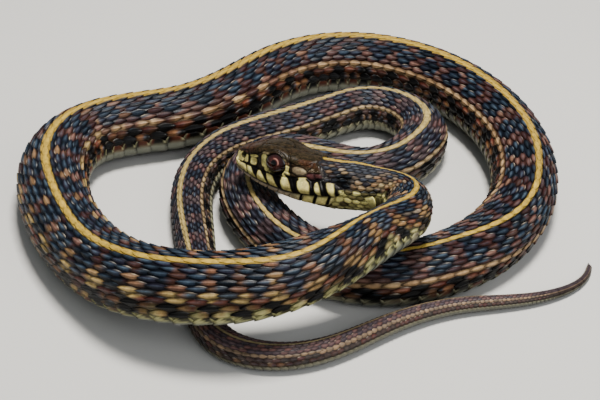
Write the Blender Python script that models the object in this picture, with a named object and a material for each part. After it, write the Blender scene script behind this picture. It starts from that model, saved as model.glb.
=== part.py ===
"""Garter snake at life size, lying in a loose double coil with its head resting over the coil.

Metres, +Z up. The floor is z = 0 and the origin lies under the middle of the coil.
The solids are made in millimetres from the sizes below and scaled to metres at the end.
"""
import math

import bmesh
import bpy
import numpy as np

MM = 0.001

# Middle of the coil in the millimetre grid that the route is written in
COIL_MIDDLE = (-0.6, 0.4)

# Route of the spine from the snout to the tip of the tail: x, y, height of the belly over the
# floor, and how far the back leans to the right side of the animal, in degrees
ROUTE = [
    (-14.6, -7.4, 12.9, 13),
    (1.1, -16.1, 13.2, 13),
    (17.4, -24.6, 14.9, 14),
    (23.6, -29.0, 15.9, 14),
    (23.9, -35.7, 16.6, 0),
    (19.0, -42.1, 16.3, -26),
    (4.3, -52.4, 13.6, 3),
    (-12.8, -56.8, 10.3, 3),
    (-29.7, -52.9, 7.4, -2),
    (-42.9, -41.3, 3.0, 6),
    (-52.9, -26.6, 0.6, 9),
    (-59.7, -10.0, 0.0, 12),
    (-61.0, 7.8, 0.0, 16),
    (-56.7, 17.1, 0.0, 17),
    (-48.2, 22.7, 0.0, 17),
    (-31.0, 28.2, 0.0, 18),
    (-17.5, 39.0, 0.0, 18),
    (-5.0, 51.9, 0.0, 16),
    (11.5, 58.3, 0.0, 14),
    (28.6, 54.5, 0.0, 14),
    (42.6, 43.4, 0.0, 14),
    (51.9, 28.0, 0.0, 15),
    (56.1, 10.6, 0.0, 19),
    (54.8, -7.3, 0.0, 23),
    (47.0, -23.4, 0.0, 18),
    (33.3, -34.8, 0.0, 3),
    (16.1, -38.7, 0.0, 4),
    (3.6, -33.6, 0.0, 14),
    (-7.9, -19.8, 0.0, 12),
    (-13.1, -5.4, 0.0, -3),
    (-12.4, 1.6, 0.0, -9),
    (-8.9, 7.5, 0.0, -14),
    (-2.5, 9.5, 0.0, -16),
    (4.1, 7.6, 0.0, -13),
    (10.5, 4.7, 0.0, -6),
    (17.4, 3.7, 0.0, -4),
    (23.6, 6.7, 0.0, -3),
    (30.8, 15.9, 0.0, -4),
    (32.3, 23.5, 0.0, -13),
    (29.4, 30.7, 0.0, -18),
    (23.4, 35.2, 0.0, -20),
    (16.1, 35.8, 0.0, -22),
    (8.1, 32.3, 0.0, -19),
    (-7.9, 24.2, 0.0, -10),
    (-20.1, 15.5, 0.0, -12),
    (-26.3, 2.2, 0.0, -28),
    (-26.0, -15.7, 0.0, -34),
    (-23.7, -33.5, 0.0, -17),
    (-21.0, -51.3, 0.0, -5),
    (-16.2, -58.8, 0.0, 0),
    (-8.1, -62.5, 0.0, 6),
    (3.3, -61.3, 0.0, 15),
    (18.7, -52.2, 0.0, 25),
    (34.9, -44.8, 0.0, 29),
    (52.6, -41.5, 0.0, 33),
    (66.5, -32.1, 0.0, 35),
    (68.4, -26.7, 0.0, 35),
]

# Half width of the body at distances from the snout
GIRTH = [
    (0, 6.2), (27, 6.3), (36, 5.8), (48, 5.5), (59, 5.8), (77, 7.1), (107, 8.15), (147, 8.65),
    (207, 8.8), (267, 8.8), (327, 8.6), (387, 7.8), (427, 7.2), (507, 6.8), (567, 6.35),
    (602, 5.75), (632, 5.1), (657, 4.3), (687, 3.5), (727, 2.6), (757, 1.7), (776, 0.7),
]
HEIGHT_RATIO = 0.93       # half height of the body over its half width
BELLY_SQUARENESS = 0.65   # under 1 makes the underside flatter than an ellipse
SINK = 0.35               # how far the soft belly flattens where it lies on the floor
FLOOR_REACH = 0.55        # skin nearer to the floor than this lies flat on it

NECK_START = 31.0         # back of the head
VENT = 652.0              # end of the trunk
PART_GAP = 0.3            # thin cut between neighbouring lengths
MAX_LENGTH = 33.0         # a length of body ends at the first scute past this
MAX_TURN = 48.0           # or past this bend, in degrees
LEAST_SCUTES = 4          # in one length
NECK_LENGTHS = 2

# Angles round a half section from the middle of the back, 180 being the middle of the belly
BODY_ANGLES = (0, 22, 44, 66, 86, 102, 124, 151, 180)
TAIL_ANGLES = (0, 32, 64, 92, 122, 150, 180)
SCUTE_EDGE = 105.0        # the belly scutes lie beyond this angle
SCUTE_RISE = 0.28         # height of a scute's free edge over the next scute
SCUTE_PITCH = 0.56        # length of a scute over the half width of the body
SHORTEST_SCUTE = 2.4
SCUTE_STEP = 0.2          # length of the step from a free edge down to the next scute
FULL_SCUTE_WIDTH = 4.0    # where the body's half width is less, the scutes stand out less
TIP_REACH = 0.8           # the tail's point lies this far past its last ring

# Head: distance from the snout, half width at the lips, half width of the crown, height of the
# crown's edge, height of the crown, depth of the chin and height of the mouth line, all measured
# from the axis of the head
HEAD_SHAPE = [
    (0.3, 1.6, 1.0, 1.2, 1.6, 2.0, -1.1),
    (1.0, 2.5, 1.7, 2.0, 2.5, 2.6, -1.45),
    (2.2, 3.2, 2.4, 2.8, 3.3, 3.05, -1.8),
    (4.5, 4.0, 3.15, 3.85, 4.3, 3.6, -2.25),
    (8.0, 4.9, 4.1, 5.05, 5.6, 4.4, -2.85),
    (12.0, 5.5, 4.7, 5.6, 6.1, 5.0, -3.2),
    (16.0, 6.2, 4.4, 4.7, 5.4, 5.4, -3.2),
    (20.0, 6.85, 4.2, 4.1, 5.1, 5.75, -2.8),
    (24.0, 7.0, 4.2, 3.9, 5.1, 6.0, -2.2),
    (27.5, 6.7, 4.3, 3.95, 5.3, 6.0, -1.7),
    (31.0, 6.2, 4.4, 4.1, 5.6, 5.85, -1.2),
]
SNOUT_TIP_HEIGHT = -0.8
MOUTH_CORNER = 26.5
MOUTH_DEPTH = 0.45
LIP_SPREAD = 0.35         # half height of the groove between the lips
LIP_HEIGHT = 1.3          # height of the fullest part of the upper lip over the mouth line
LOWER_JAW_INSET = 0.25
CORNER_FADE = 1.5         # the groove fades out over this length
HEAD_STATIONS = (
    0.3, 0.6, 1.0, 1.5, 2.0, 2.6, 3.2, 4.0, 5.0, 6.0, 7.0, 8.0, 9.0, 9.9, 10.7, 11.5, 12.2, 12.9,
    13.6, 14.3, 15.1, 15.9, 16.8, 17.9, 19.2, 20.6, 22.0, 23.4, 24.8, 26.0, 27.0, 28.0, 29.4, 31.0,
)
UPPER_STEPS = 11          # steps from the middle of the crown to the upper lip
LOWER_STEPS = 6           # steps from the lower lip to the middle of the chin

EYE_AT = 12.9
EYE_HEIGHT = 2.9
EYE_RADIUS = 2.25         # upwards
EYE_LENGTH = 2.65         # half length along the head
EYE_THICKNESS = 1.4       # half thickness of the lens-shaped eye, sideways
SOCKET_GAP = 0.36         # the socket is larger than the eye by this much all round
EYE_OUT = 5.85            # distance of the eye's outer face from the middle of the head
EYE_TILT = 10.0           # the eye looks this much upwards, in degrees
NOSTRIL_AT = 2.9
NOSTRIL_HEIGHT = 1.7
NOSTRIL_RADIUS = 0.5
NOSTRIL_DEPTH = 0.7
EYE_FACETS = (20, 14)     # segments round a ball and rows from pole to pole
NOSTRIL_FACETS = (8, 6)

SCALES = ("body_scales", (0.085, 0.075, 0.08, 1.0), 0.5)
HEAD_PLATES = ("head_plates", (0.17, 0.14, 0.075, 1.0), 0.4)
EYE_GLASS = ("eye_glass", (0.06, 0.025, 0.015, 1.0), 0.08)


def clear_scene():
    """Remove what the start-up file holds."""
    for thing in list(bpy.data.objects):
        bpy.data.objects.remove(thing, do_unlink=True)


def cubic_through(knots, values):
    """Return a function that runs a natural cubic spline through values at the knots."""
    knots = np.asarray(knots, float)
    values = np.asarray(values, float).reshape(len(knots), -1)
    step = np.diff(knots)
    slope = np.diff(values, axis=0) / step[:, None]
    count = len(knots)
    matrix = np.eye(count)
    target = np.zeros_like(values)
    for i in range(1, count - 1):
        matrix[i, i - 1] = step[i - 1]
        matrix[i, i] = 2.0 * (step[i - 1] + step[i])
        matrix[i, i + 1] = step[i]
        target[i] = 6.0 * (slope[i] - slope[i - 1])
    bend = np.linalg.solve(matrix, target)

    def at(x):
        x = np.atleast_1d(np.asarray(x, float))
        i = np.clip(np.searchsorted(knots, x) - 1, 0, count - 2)
        h = step[i][:, None]
        left = (knots[i + 1] - x)[:, None]
        right = (x - knots[i])[:, None]
        curve = (bend[i] * left ** 3 + bend[i + 1] * right ** 3) / (6.0 * h)
        curve += (values[i] / h - bend[i] * h / 6.0) * left
        curve += (values[i + 1] / h - bend[i + 1] * h / 6.0) * right
        return curve

    return at


class Spine:
    """The body's centre line: place, directions and half width at any distance from the snout."""

    TABLE_STEP = 0.25

    def __init__(self):
        route = np.array(ROUTE, float)
        route[:, 0] -= COIL_MIDDLE[0]
        route[:, 1] -= COIL_MIDDLE[1]
        chord = np.linalg.norm(np.diff(route[:, :3], axis=0), axis=1)
        knots = np.concatenate([[0.0], np.cumsum(chord)])
        fine = cubic_through(knots, route)(np.linspace(0.0, knots[-1], 6000))
        along = np.linalg.norm(np.diff(fine[:, :3], axis=0), axis=1)
        along = np.concatenate([[0.0], np.cumsum(along)])
        self.length = float(along[-1])
        self.table = np.arange(0.0, self.length, self.TABLE_STEP)
        self.row = np.stack([np.interp(self.table, along, fine[:, k]) for k in range(4)], axis=1)
        girth = np.array(GIRTH, float)
        self.girth = cubic_through(girth[:, 0] * self.length / girth[-1, 0], girth[:, 1])
        self.row[:, 2] = np.maximum(self.row[:, 2], 0.0)
        self.row[:, 2] += HEIGHT_RATIO * self.girth(self.table)[:, 0] - SINK

    def half_width(self, s):
        return float(self.girth(s)[0, 0])

    def value(self, s, column):
        return float(np.interp(s, self.table, self.row[:, column]))

    def point(self, s):
        return np.array([self.value(s, k) for k in range(3)])

    def frame(self, s):
        """Return the place, the tailward, rightward and backward (dorsal) directions at s."""
        reach = 0.75
        ahead = min(s + reach, self.length - self.TABLE_STEP)
        behind = max(s - reach, 0.0)
        tailward = self.point(ahead) - self.point(behind)
        tailward /= np.linalg.norm(tailward)
        level = np.cross((0.0, 0.0, 1.0), tailward)
        level /= np.linalg.norm(level)
        upright = np.cross(tailward, level)
        lean = math.radians(self.value(s, 3))
        rightward = math.cos(lean) * level - math.sin(lean) * upright
        dorsal = math.cos(lean) * upright + math.sin(lean) * level
        return self.point(s), tailward, rightward, dorsal

    def turn(self, start, end):
        """Return how far the body bends between two distances, in degrees."""
        stops = np.arange(start, end, 1.0)
        ways = [self.frame(s)[1] for s in stops]
        bends = [math.acos(min(1.0, float(np.dot(a, b)))) for a, b in zip(ways, ways[1:])]
        return math.degrees(sum(bends))


def body_section(half_width, angles, rise):
    """Return the loaf-shaped outline of the body as (right, up) pairs, all the way round."""
    half = []
    for angle in angles:
        turned = math.radians(angle)
        across = half_width * math.sin(turned)
        up = math.cos(turned)
        up = up if up > 0.0 else -((-up) ** BELLY_SQUARENESS)
        up *= HEIGHT_RATIO * half_width
        if angle > SCUTE_EDGE:
            swell = 1.0 + rise / half_width
            across *= swell
            up *= swell
        half.append((across, up))
    return half + [(-across, up) for across, up in half[-2:0:-1]]


def skin_rings(name, rings, tip_points=(None, None)):
    """Build a closed mesh from equal rings; a tip point closes an end to a point."""
    mesh_data = bmesh.new()
    rows = [[mesh_data.verts.new(point) for point in ring] for ring in rings]
    count = len(rows[0])
    for near, far in zip(rows, rows[1:]):
        for i in range(count):
            j = (i + 1) % count
            mesh_data.faces.new((near[i], near[j], far[j], far[i]))
    for row, tip, first in ((rows[0], tip_points[0], True), (rows[-1], tip_points[1], False)):
        order = list(reversed(row)) if first else list(row)
        if tip is None:
            mesh_data.faces.new(order)
            continue
        centre = mesh_data.verts.new(tip)
        for i in range(count):
            mesh_data.faces.new((order[i], order[(i + 1) % count], centre))
    bmesh.ops.recalc_face_normals(mesh_data, faces=mesh_data.faces)
    mesh = bpy.data.meshes.new(name)
    mesh_data.to_mesh(mesh)
    mesh_data.free()
    thing = bpy.data.objects.new(name, mesh)
    bpy.context.scene.collection.objects.link(thing)
    return thing


def to_metres(points):
    """Turn millimetre points into metre ones, with the lowest skin pressed flat on the floor."""
    points = np.array(points, float)
    points[points[:, 2] < FLOOR_REACH, 2] = 0.0
    return points * MM


def ring_at(spine, s, shift, rise, angles):
    """Return one ring of the body, moved a little along it."""
    place, tailward, rightward, dorsal = spine.frame(s)
    place = place + tailward * shift
    outline = body_section(spine.half_width(s), angles, rise)
    return to_metres([place + rightward * across + dorsal * up for across, up in outline])


def scute_edges(spine):
    """Return the distances at which the belly scutes begin, from the neck to the tail's tip."""
    edges = [NECK_START]
    while True:
        pitch = max(SCUTE_PITCH * spine.half_width(edges[-1]), SHORTEST_SCUTE)
        if edges[-1] + 1.5 * pitch > spine.length:
            return edges
        edges.append(edges[-1] + pitch)


def body_lengths(spine, edges):
    """Group the scutes into lengths short and straight enough to be one piece each."""
    groups = []
    start = 0
    for i in range(1, len(edges)):
        long_enough = edges[i] - edges[start] > MAX_LENGTH
        bent_enough = spine.turn(edges[start], edges[i]) > MAX_TURN
        crosses_vent = edges[i - 1] < VENT <= edges[i]
        if (long_enough or bent_enough or crosses_vent) and len(edges) - i > LEAST_SCUTES:
            groups.append((start, i))
            start = i
    groups.append((start, len(edges) - 1))
    return groups


def starts_on_tail(front):
    """Tell whether a length that begins at this distance belongs to the tail."""
    return front >= VENT - SHORTEST_SCUTE


def region_of(number, front):
    """Return the part of the animal that a length belongs to."""
    if number < NECK_LENGTHS:
        return "neck"
    return "tail" if starts_on_tail(front) else "body"


def build_length(spine, name, edges, is_tip):
    """Build one length of the body with its belly scutes raised at their free edges."""
    angles = TAIL_ANGLES if starts_on_tail(edges[0]) else BODY_ANGLES
    rings = []
    last = len(edges) - 1
    for i, (front, back) in enumerate(zip(edges, edges[1:])):
        thin = min(1.0, spine.half_width(back) / FULL_SCUTE_WIDTH)
        ahead = PART_GAP / 2 if i == 0 else SCUTE_STEP / 2
        behind = PART_GAP / 2 if i == last - 1 and not is_tip else SCUTE_STEP / 2
        rings.append(ring_at(spine, front, ahead, 0.0, angles))
        rings.append(ring_at(spine, back, -behind, SCUTE_RISE * thin, angles))
    tip = None
    if is_tip:
        end = spine.length - spine.TABLE_STEP
        place, tailward, _, _ = spine.frame(end)
        rings.append(ring_at(spine, end, -TIP_REACH, 0.0, angles))
        tip = to_metres([place + tailward * TIP_REACH])[0]
    return skin_rings(name, rings, (None, tip))


def head_sizes(s):
    """Return the six sizes of the head's section at a distance from the snout."""
    table = np.array(HEAD_SHAPE)
    return [float(v) for v in cubic_through(table[:, 0], table[:, 1:])(s)[0]]


def bump(distance, spread):
    """Return a smooth rise that is 1 at distance 0 and fades over the spread."""
    return math.exp(-((distance / spread) ** 2))


def head_relief(s, up, mouth):
    """Return how far the head's surface stands out or in at one place, in millimetres."""
    from_eye = math.hypot((s - EYE_AT) * EYE_RADIUS / EYE_LENGTH, up - EYE_HEIGHT)
    brow = 0.3 * bump(s - EYE_AT, 3.0) * bump(up - 5.4, 0.7)
    eye_rim = 0.22 * bump(from_eye - EYE_RADIUS - 0.6, 0.45)
    cheek_hollow = -0.3 * bump(s - 7.6, 2.2) * bump(up - 1.2, 1.3)
    upper_lip = 0.2 * bump(up - mouth - 1.1, 0.7) * bump(s - 14.0, 11.0)
    temple = 0.25 * bump(s - 20.0, 4.0) * bump(up - 1.6, 1.6)
    return brow + eye_rim + cheek_hollow + upper_lip + temple


def smooth_through(corners, steps):
    """Return evenly spread points on a smooth curve through a few (right, up) corners."""
    corners = np.array(corners, float)
    reach = np.concatenate([[0.0], np.cumsum(np.linalg.norm(np.diff(corners, axis=0), axis=1))])
    return cubic_through(reach, corners)(np.linspace(0.0, reach[-1], steps + 1))


def head_outline(s):
    """Return the head's outline as (right, up) pairs, all the way round, with the mouth groove."""
    lips, crown_edge, edge_height, crown, chin, mouth = head_sizes(s)
    groove = min(1.0, s) * min(1.0, max(0.0, (MOUTH_CORNER - s) / CORNER_FADE))
    spread = LIP_SPREAD * min(1.0, s)
    jaw = lips - LOWER_JAW_INSET * groove
    upper_half = smooth_through([
        (0.0, crown),
        (0.6 * crown_edge, crown - 0.25 * (crown - edge_height)),
        (crown_edge, edge_height),
        (crown_edge + 0.62 * (lips - crown_edge), 0.5 * (edge_height + mouth)),
        (lips, mouth + min(LIP_HEIGHT, 0.45 * (edge_height - mouth))),
        (lips - 0.1, mouth + spread),
    ], UPPER_STEPS)
    lower_half = smooth_through([
        (jaw, mouth - spread),
        (0.96 * jaw, mouth - 0.45 * (chin + mouth)),
        (0.66 * jaw, -0.93 * chin),
        (0.0, -chin),
    ], LOWER_STEPS)
    half = []
    for across, up in upper_half[:-1]:
        grow = 1.0 + head_relief(s, up, mouth) * min(1.0, s) / math.hypot(across, up - mouth)
        half.append((across * grow, mouth + (up - mouth) * grow))
    half.append(tuple(upper_half[-1]))
    half.append((lips - MOUTH_DEPTH * groove, mouth))
    half.extend(tuple(pair) for pair in lower_half)
    half[0] = (0.0, half[0][1])
    half[-1] = (0.0, half[-1][1])
    return half + [(-across, up) for across, up in half[-2:0:-1]]


def ball(name, centre, directions, sizes, facets):
    """Make a stretched ball in millimetres from three directions and its half sizes along them."""
    mesh = bpy.data.meshes.new(name)
    mesh_data = bmesh.new()
    segments, rows = facets
    bmesh.ops.create_uvsphere(mesh_data, u_segments=segments, v_segments=rows, radius=1.0)
    for vertex in mesh_data.verts:
        place = np.array(centre, float)
        for part, direction, size in zip(vertex.co, directions, sizes):
            place = place + part * size * direction
        vertex.co = place * MM
    bmesh.ops.recalc_face_normals(mesh_data, faces=mesh_data.faces)
    mesh_data.to_mesh(mesh)
    mesh_data.free()
    thing = bpy.data.objects.new(name, mesh)
    bpy.context.scene.collection.objects.link(thing)
    return thing


def carve(target, cutters):
    """Cut closed pieces out of a solid, then remove them."""
    for cutter in cutters:
        modifier = target.modifiers.new("carve", "BOOLEAN")
        modifier.operation = "DIFFERENCE"
        modifier.solver = "EXACT"
        modifier.object = cutter
    graph = bpy.context.evaluated_depsgraph_get()
    carved = bpy.data.meshes.new_from_object(target.evaluated_get(graph))
    target.modifiers.clear()
    target.data = carved
    for cutter in cutters:
        bpy.data.objects.remove(cutter, do_unlink=True)


def side_ball(spine, name, where, side, sizes, facets):
    """Set a stretched ball in one side of the head (side is 1 on its right, -1 on its left).

    where is its distance from the snout, its height and how far its outer face is from the
    middle; sizes are its half sizes sideways, along the head and upwards.
    """
    s, up, out = where
    place, tailward, rightward, dorsal = spine.frame(s)
    tilt = math.radians(EYE_TILT)
    outward = rightward * (side * math.cos(tilt)) + dorsal * math.sin(tilt)
    upward = dorsal * math.cos(tilt) - rightward * (side * math.sin(tilt))
    centre = place + rightward * (side * out) + dorsal * up - outward * sizes[0]
    directions = (tailward, upward, outward)
    return ball(name, centre, directions, (sizes[1], sizes[2], sizes[0]), facets)


def build_head(spine):
    """Build the head with its lips, brow, eye sockets and nostrils."""
    rings = []
    for s in HEAD_STATIONS:
        place, tailward, rightward, dorsal = spine.frame(s)
        if s == HEAD_STATIONS[-1]:
            place = place - tailward * PART_GAP / 2
        outline = head_outline(s)
        rings.append(to_metres([place + rightward * across + dorsal * up for across, up in outline]))
    place, tailward, _, dorsal = spine.frame(0.0)
    snout = to_metres([place + dorsal * SNOUT_TIP_HEIGHT])[0]
    head = skin_rings("head", rings, (snout, None))
    nostril_out = head_sizes(NOSTRIL_AT)[0] + 0.1
    cutters = []
    for side in (-1, 1):
        socket = [size + SOCKET_GAP for size in (EYE_THICKNESS, EYE_LENGTH, EYE_RADIUS)]
        socket_out = EYE_OUT + SOCKET_GAP
        cutters.append(side_ball(spine, "socket", (EYE_AT, EYE_HEIGHT, socket_out), side, socket,
                                 EYE_FACETS))
        pit = (NOSTRIL_DEPTH, NOSTRIL_RADIUS, NOSTRIL_RADIUS)
        cutters.append(side_ball(spine, "nostril", (NOSTRIL_AT, NOSTRIL_HEIGHT, nostril_out), side,
                                 pit, NOSTRIL_FACETS))
    carve(head, cutters)
    return head


def build_eyes(spine):
    """Build the two eyes, each a lens-shaped ball in its socket."""
    sizes = (EYE_THICKNESS, EYE_LENGTH, EYE_RADIUS)
    return [
        side_ball(spine, name, (EYE_AT, EYE_HEIGHT, EYE_OUT), side, sizes, EYE_FACETS)
        for name, side in (("eye_left", -1), ("eye_right", 1))
    ]


def finish(thing, look):
    """Give a piece its material and smooth shading."""
    name, colour, roughness = look
    material = bpy.data.materials.get(name)
    if material is None:
        material = bpy.data.materials.new(name)
        material.use_nodes = True
        shader = material.node_tree.nodes["Principled BSDF"]
        shader.inputs["Base Color"].default_value = colour
        shader.inputs["Roughness"].default_value = roughness
    thing.data.materials.clear()
    thing.data.materials.append(material)
    for face in thing.data.polygons:
        face.use_smooth = len(face.vertices) <= 4


def main():
    clear_scene()
    spine = Spine()
    finish(build_head(spine), HEAD_PLATES)
    for eye in build_eyes(spine):
        finish(eye, EYE_GLASS)
    edges = scute_edges(spine)
    groups = body_lengths(spine, edges)
    counts = {"neck": 0, "body": 0, "tail": 0}
    for number, (start, end) in enumerate(groups):
        region = region_of(number, edges[start])
        counts[region] += 1
        name = f"{region}_{counts[region]:02d}"
        is_tip = number == len(groups) - 1
        finish(build_length(spine, name, edges[start:end + 1], is_tip), SCALES)


main()
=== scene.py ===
"""Dresses the garter snake: one skin from snout to tail, keeled scales, belly scutes and eyes.

The skin lies a little inside the solids and the scales fill them. Sizes are in millimetres until a
mesh is written, which is in metres, in the frame of the solids.
"""
import math

import bpy
import numpy as np
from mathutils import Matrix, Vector, kdtree


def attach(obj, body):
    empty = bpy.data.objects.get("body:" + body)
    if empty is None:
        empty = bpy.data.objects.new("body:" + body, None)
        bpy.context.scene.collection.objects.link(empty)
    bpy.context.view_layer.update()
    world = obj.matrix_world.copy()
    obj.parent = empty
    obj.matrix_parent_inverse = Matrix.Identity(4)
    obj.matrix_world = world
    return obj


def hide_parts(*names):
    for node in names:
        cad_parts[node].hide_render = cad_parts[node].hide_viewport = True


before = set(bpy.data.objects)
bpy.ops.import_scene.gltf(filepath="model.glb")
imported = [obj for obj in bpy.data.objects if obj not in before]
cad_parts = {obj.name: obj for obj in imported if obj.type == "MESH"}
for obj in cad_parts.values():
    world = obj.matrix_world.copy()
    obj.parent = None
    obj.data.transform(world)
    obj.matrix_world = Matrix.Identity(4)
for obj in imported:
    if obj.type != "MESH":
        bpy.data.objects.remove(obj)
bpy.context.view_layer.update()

MM = 0.001

# The animal's measures, the same as in the solids
COIL_MIDDLE = (-0.6, 0.4)
ROUTE = [
    (-14.6, -7.4, 12.9, 13), (1.1, -16.1, 13.2, 13), (17.4, -24.6, 14.9, 14),
    (23.6, -29.0, 15.9, 14), (23.9, -35.7, 16.6, 0), (19.0, -42.1, 16.3, -26),
    (4.3, -52.4, 13.6, 3), (-12.8, -56.8, 10.3, 3), (-29.7, -52.9, 7.4, -2),
    (-42.9, -41.3, 3.0, 6), (-52.9, -26.6, 0.6, 9), (-59.7, -10.0, 0.0, 12),
    (-61.0, 7.8, 0.0, 16), (-56.7, 17.1, 0.0, 17), (-48.2, 22.7, 0.0, 17),
    (-31.0, 28.2, 0.0, 18), (-17.5, 39.0, 0.0, 18), (-5.0, 51.9, 0.0, 16),
    (11.5, 58.3, 0.0, 14), (28.6, 54.5, 0.0, 14), (42.6, 43.4, 0.0, 14),
    (51.9, 28.0, 0.0, 15), (56.1, 10.6, 0.0, 19), (54.8, -7.3, 0.0, 23),
    (47.0, -23.4, 0.0, 18), (33.3, -34.8, 0.0, 3), (16.1, -38.7, 0.0, 4),
    (3.6, -33.6, 0.0, 14), (-7.9, -19.8, 0.0, 12), (-13.1, -5.4, 0.0, -3),
    (-12.4, 1.6, 0.0, -9), (-8.9, 7.5, 0.0, -14), (-2.5, 9.5, 0.0, -16),
    (4.1, 7.6, 0.0, -13), (10.5, 4.7, 0.0, -6), (17.4, 3.7, 0.0, -4),
    (23.6, 6.7, 0.0, -3), (30.8, 15.9, 0.0, -4), (32.3, 23.5, 0.0, -13),
    (29.4, 30.7, 0.0, -18), (23.4, 35.2, 0.0, -20), (16.1, 35.8, 0.0, -22),
    (8.1, 32.3, 0.0, -19), (-7.9, 24.2, 0.0, -10), (-20.1, 15.5, 0.0, -12),
    (-26.3, 2.2, 0.0, -28), (-26.0, -15.7, 0.0, -34), (-23.7, -33.5, 0.0, -17),
    (-21.0, -51.3, 0.0, -5), (-16.2, -58.8, 0.0, 0), (-8.1, -62.5, 0.0, 6),
    (3.3, -61.3, 0.0, 15), (18.7, -52.2, 0.0, 25), (34.9, -44.8, 0.0, 29),
    (52.6, -41.5, 0.0, 33), (66.5, -32.1, 0.0, 35), (68.4, -26.7, 0.0, 35),
]
GIRTH = [
    (0, 6.2), (27, 6.3), (36, 5.8), (48, 5.5), (59, 5.8), (77, 7.1), (107, 8.15), (147, 8.65),
    (207, 8.8), (267, 8.8), (327, 8.6), (387, 7.8), (427, 7.2), (507, 6.8), (567, 6.35),
    (602, 5.75), (632, 5.1), (657, 4.3), (687, 3.5), (727, 2.6), (757, 1.7), (776, 0.7),
]
SPINE_STEPS = 6000
OUTLINE_STEPS = 160
HEIGHT_RATIO = 0.93
BELLY_SQUARENESS = 0.65
SINK = 0.35
VENT = 652.0
HEAD_END = 31.0
HEAD_SHAPE = [
    (0.3, 1.6, 1.0, 1.2, 1.6, 2.0, -1.1),
    (1.0, 2.5, 1.7, 2.0, 2.5, 2.6, -1.45),
    (2.2, 3.2, 2.4, 2.8, 3.3, 3.05, -1.8),
    (4.5, 4.0, 3.15, 3.85, 4.3, 3.6, -2.25),
    (8.0, 4.9, 4.1, 5.05, 5.6, 4.4, -2.85),
    (12.0, 5.5, 4.7, 5.6, 6.1, 5.0, -3.2),
    (16.0, 6.2, 4.4, 4.7, 5.4, 5.4, -3.2),
    (20.0, 6.85, 4.2, 4.1, 5.1, 5.75, -2.8),
    (24.0, 7.0, 4.2, 3.9, 5.1, 6.0, -2.2),
    (27.5, 6.7, 4.3, 3.95, 5.3, 6.0, -1.7),
    (31.0, 6.2, 4.4, 4.1, 5.6, 5.85, -1.2),
]
SNOUT_TIP_HEIGHT = -0.8
LIP_HEIGHT = 1.3
LIP_CREASE = 0.06
LOWER_JAW_INSET = 0.25
MOUTH_CORNER = 28.3
EYE_AT = 12.9
EYE_HEIGHT = 2.9
EYE_RADIUS = 2.25
EYE_LENGTH = 2.65
EYE_THICKNESS = 1.4
EYE_OUT = 5.85
EYE_TILT = 10.0
EYE_SPREAD = (1.08, 1.1)  # how much longer and higher the dressed eye is, to reach under its rim
EYE_FORWARD = 0.24
EYE_BULGE = 0.12
EYE_SEGMENTS = 96
EYE_RINGS = 64
EYE_LEVEL = 0.586         # the eye's place between crown 0 and lips 1
EYE_ARC = 11.4            # length of the skin from crown to lips at the eye
NOSTRIL = (3.2, 0.545)

# The coat
LIP_TURN = 112.0          # the lips' place on the 0 to 180 scale from back to belly
FLOOR_REACH = 1.5         # the height up to which the skin is pressed onto the floor
FLOOR_SOFTNESS = 0.12
SKIN_DEPTH = 0.38         # how far the body's skin lies under the solids' surface
ROW_WIDTHS = (1.0, 1.0, 1.0, 1.0, 1.0, 1.0, 1.0, 1.12, 1.24, 1.4)
SCUTE_EDGE_TURN = 103.0   # where the belly scutes begin
FEWER_ROWS_AT = 430.0     # where the scale rows drop from 19 to 17
THIN_TAIL_AT = 700.0      # where the tail's scale rows drop from 13 to 9
# Middles of the dark spots on the sides, from the neck to the front of the tail
SPOTS_AT = (
    25, 31, 37, 43, 49.5, 56, 62.4, 68.8, 77.2, 85, 91.8, 97.5, 102.8, 110.8, 120.2, 130.5, 141, 151.5,
    161.5, 171.5, 181, 191, 203, 212, 220.5, 228, 236, 244, 251, 258.5, 268.5, 280.5, 290, 299, 308,
    317, 326, 337, 348.5, 359, 369, 378.5, 385.5, 392, 399, 407.5, 416.5, 425, 433.5, 442.5, 451.5, 462,
    471, 480, 489, 498, 507.5, 517, 527, 539, 550.5, 558, 566, 576, 583, 588.5, 594.5, 600.5, 607,
    614, 621, 628, 635, 642, 649, 655, 661, 667, 673, 679, 685, 691, 697,
)
# How many degrees the coat is turned on the solids' outline, by distance
ROLL = [
    (28, 0), (34, 9), (39, 14), (45, 12), (50, 8), (60, 3), (70, 9), (84, 8), (97, 3), (106, 6),
    (116, 9), (130, 6), (142, 2), (152, -3), (162, -6), (180, -6), (198, -5), (280, -6), (300, -7),
    (330, -3), (345, 0), (364, 0), (372, 4), (380, 6), (390, 4), (400, 0), (504, 0), (511, 6),
    (518, 0), (532, 0), (543, 9), (580, 9), (600, 0), (612, 0), (620, 3), (645, -4), (655, -4),
    (670, 0),
]
# The back stripe's half width and the side stripe's place, both in scale rows
STRIPE_HALF = [(25, 0.8), (36, 0.76), (44, 0.64), (60, 0.7), (78, 0.5), (86, 0.52), (92, 0.66),
               (110, 0.58), (165, 0.58), (182, 0.78), (200, 1.05), (290, 1.08), (315, 1.0),
               (345, 0.86), (365, 0.62), (378, 0.48), (400, 0.47), (440, 0.38), (460, 0.45),
               (500, 0.62), (525, 0.6), (543, 0.95), (600, 0.95), (640, 0.88), (655, 0.64), (700, 0.5)]
STRIPE_ROW = [(150, 6.3), (200, 7.05), (415, 7.05), (430, 6.72), (648, 6.72), (652, 5.95),
              (698, 5.95), (702, 6.5)]
# Where the front's bright colours end, the greyer ones begin and the tail's begin
FRONT_FADE = (150.0, 230.0)
GREY_FADE = (400.0, 470.0)
TAIL_FADE = (640.0, 680.0)
# The two rows of spots: the scale row of their middles and their reach in rows
UPPER_SPOT = (1.8, 1.4)
LOWER_SPOT = (4.5, 1.6)
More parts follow.
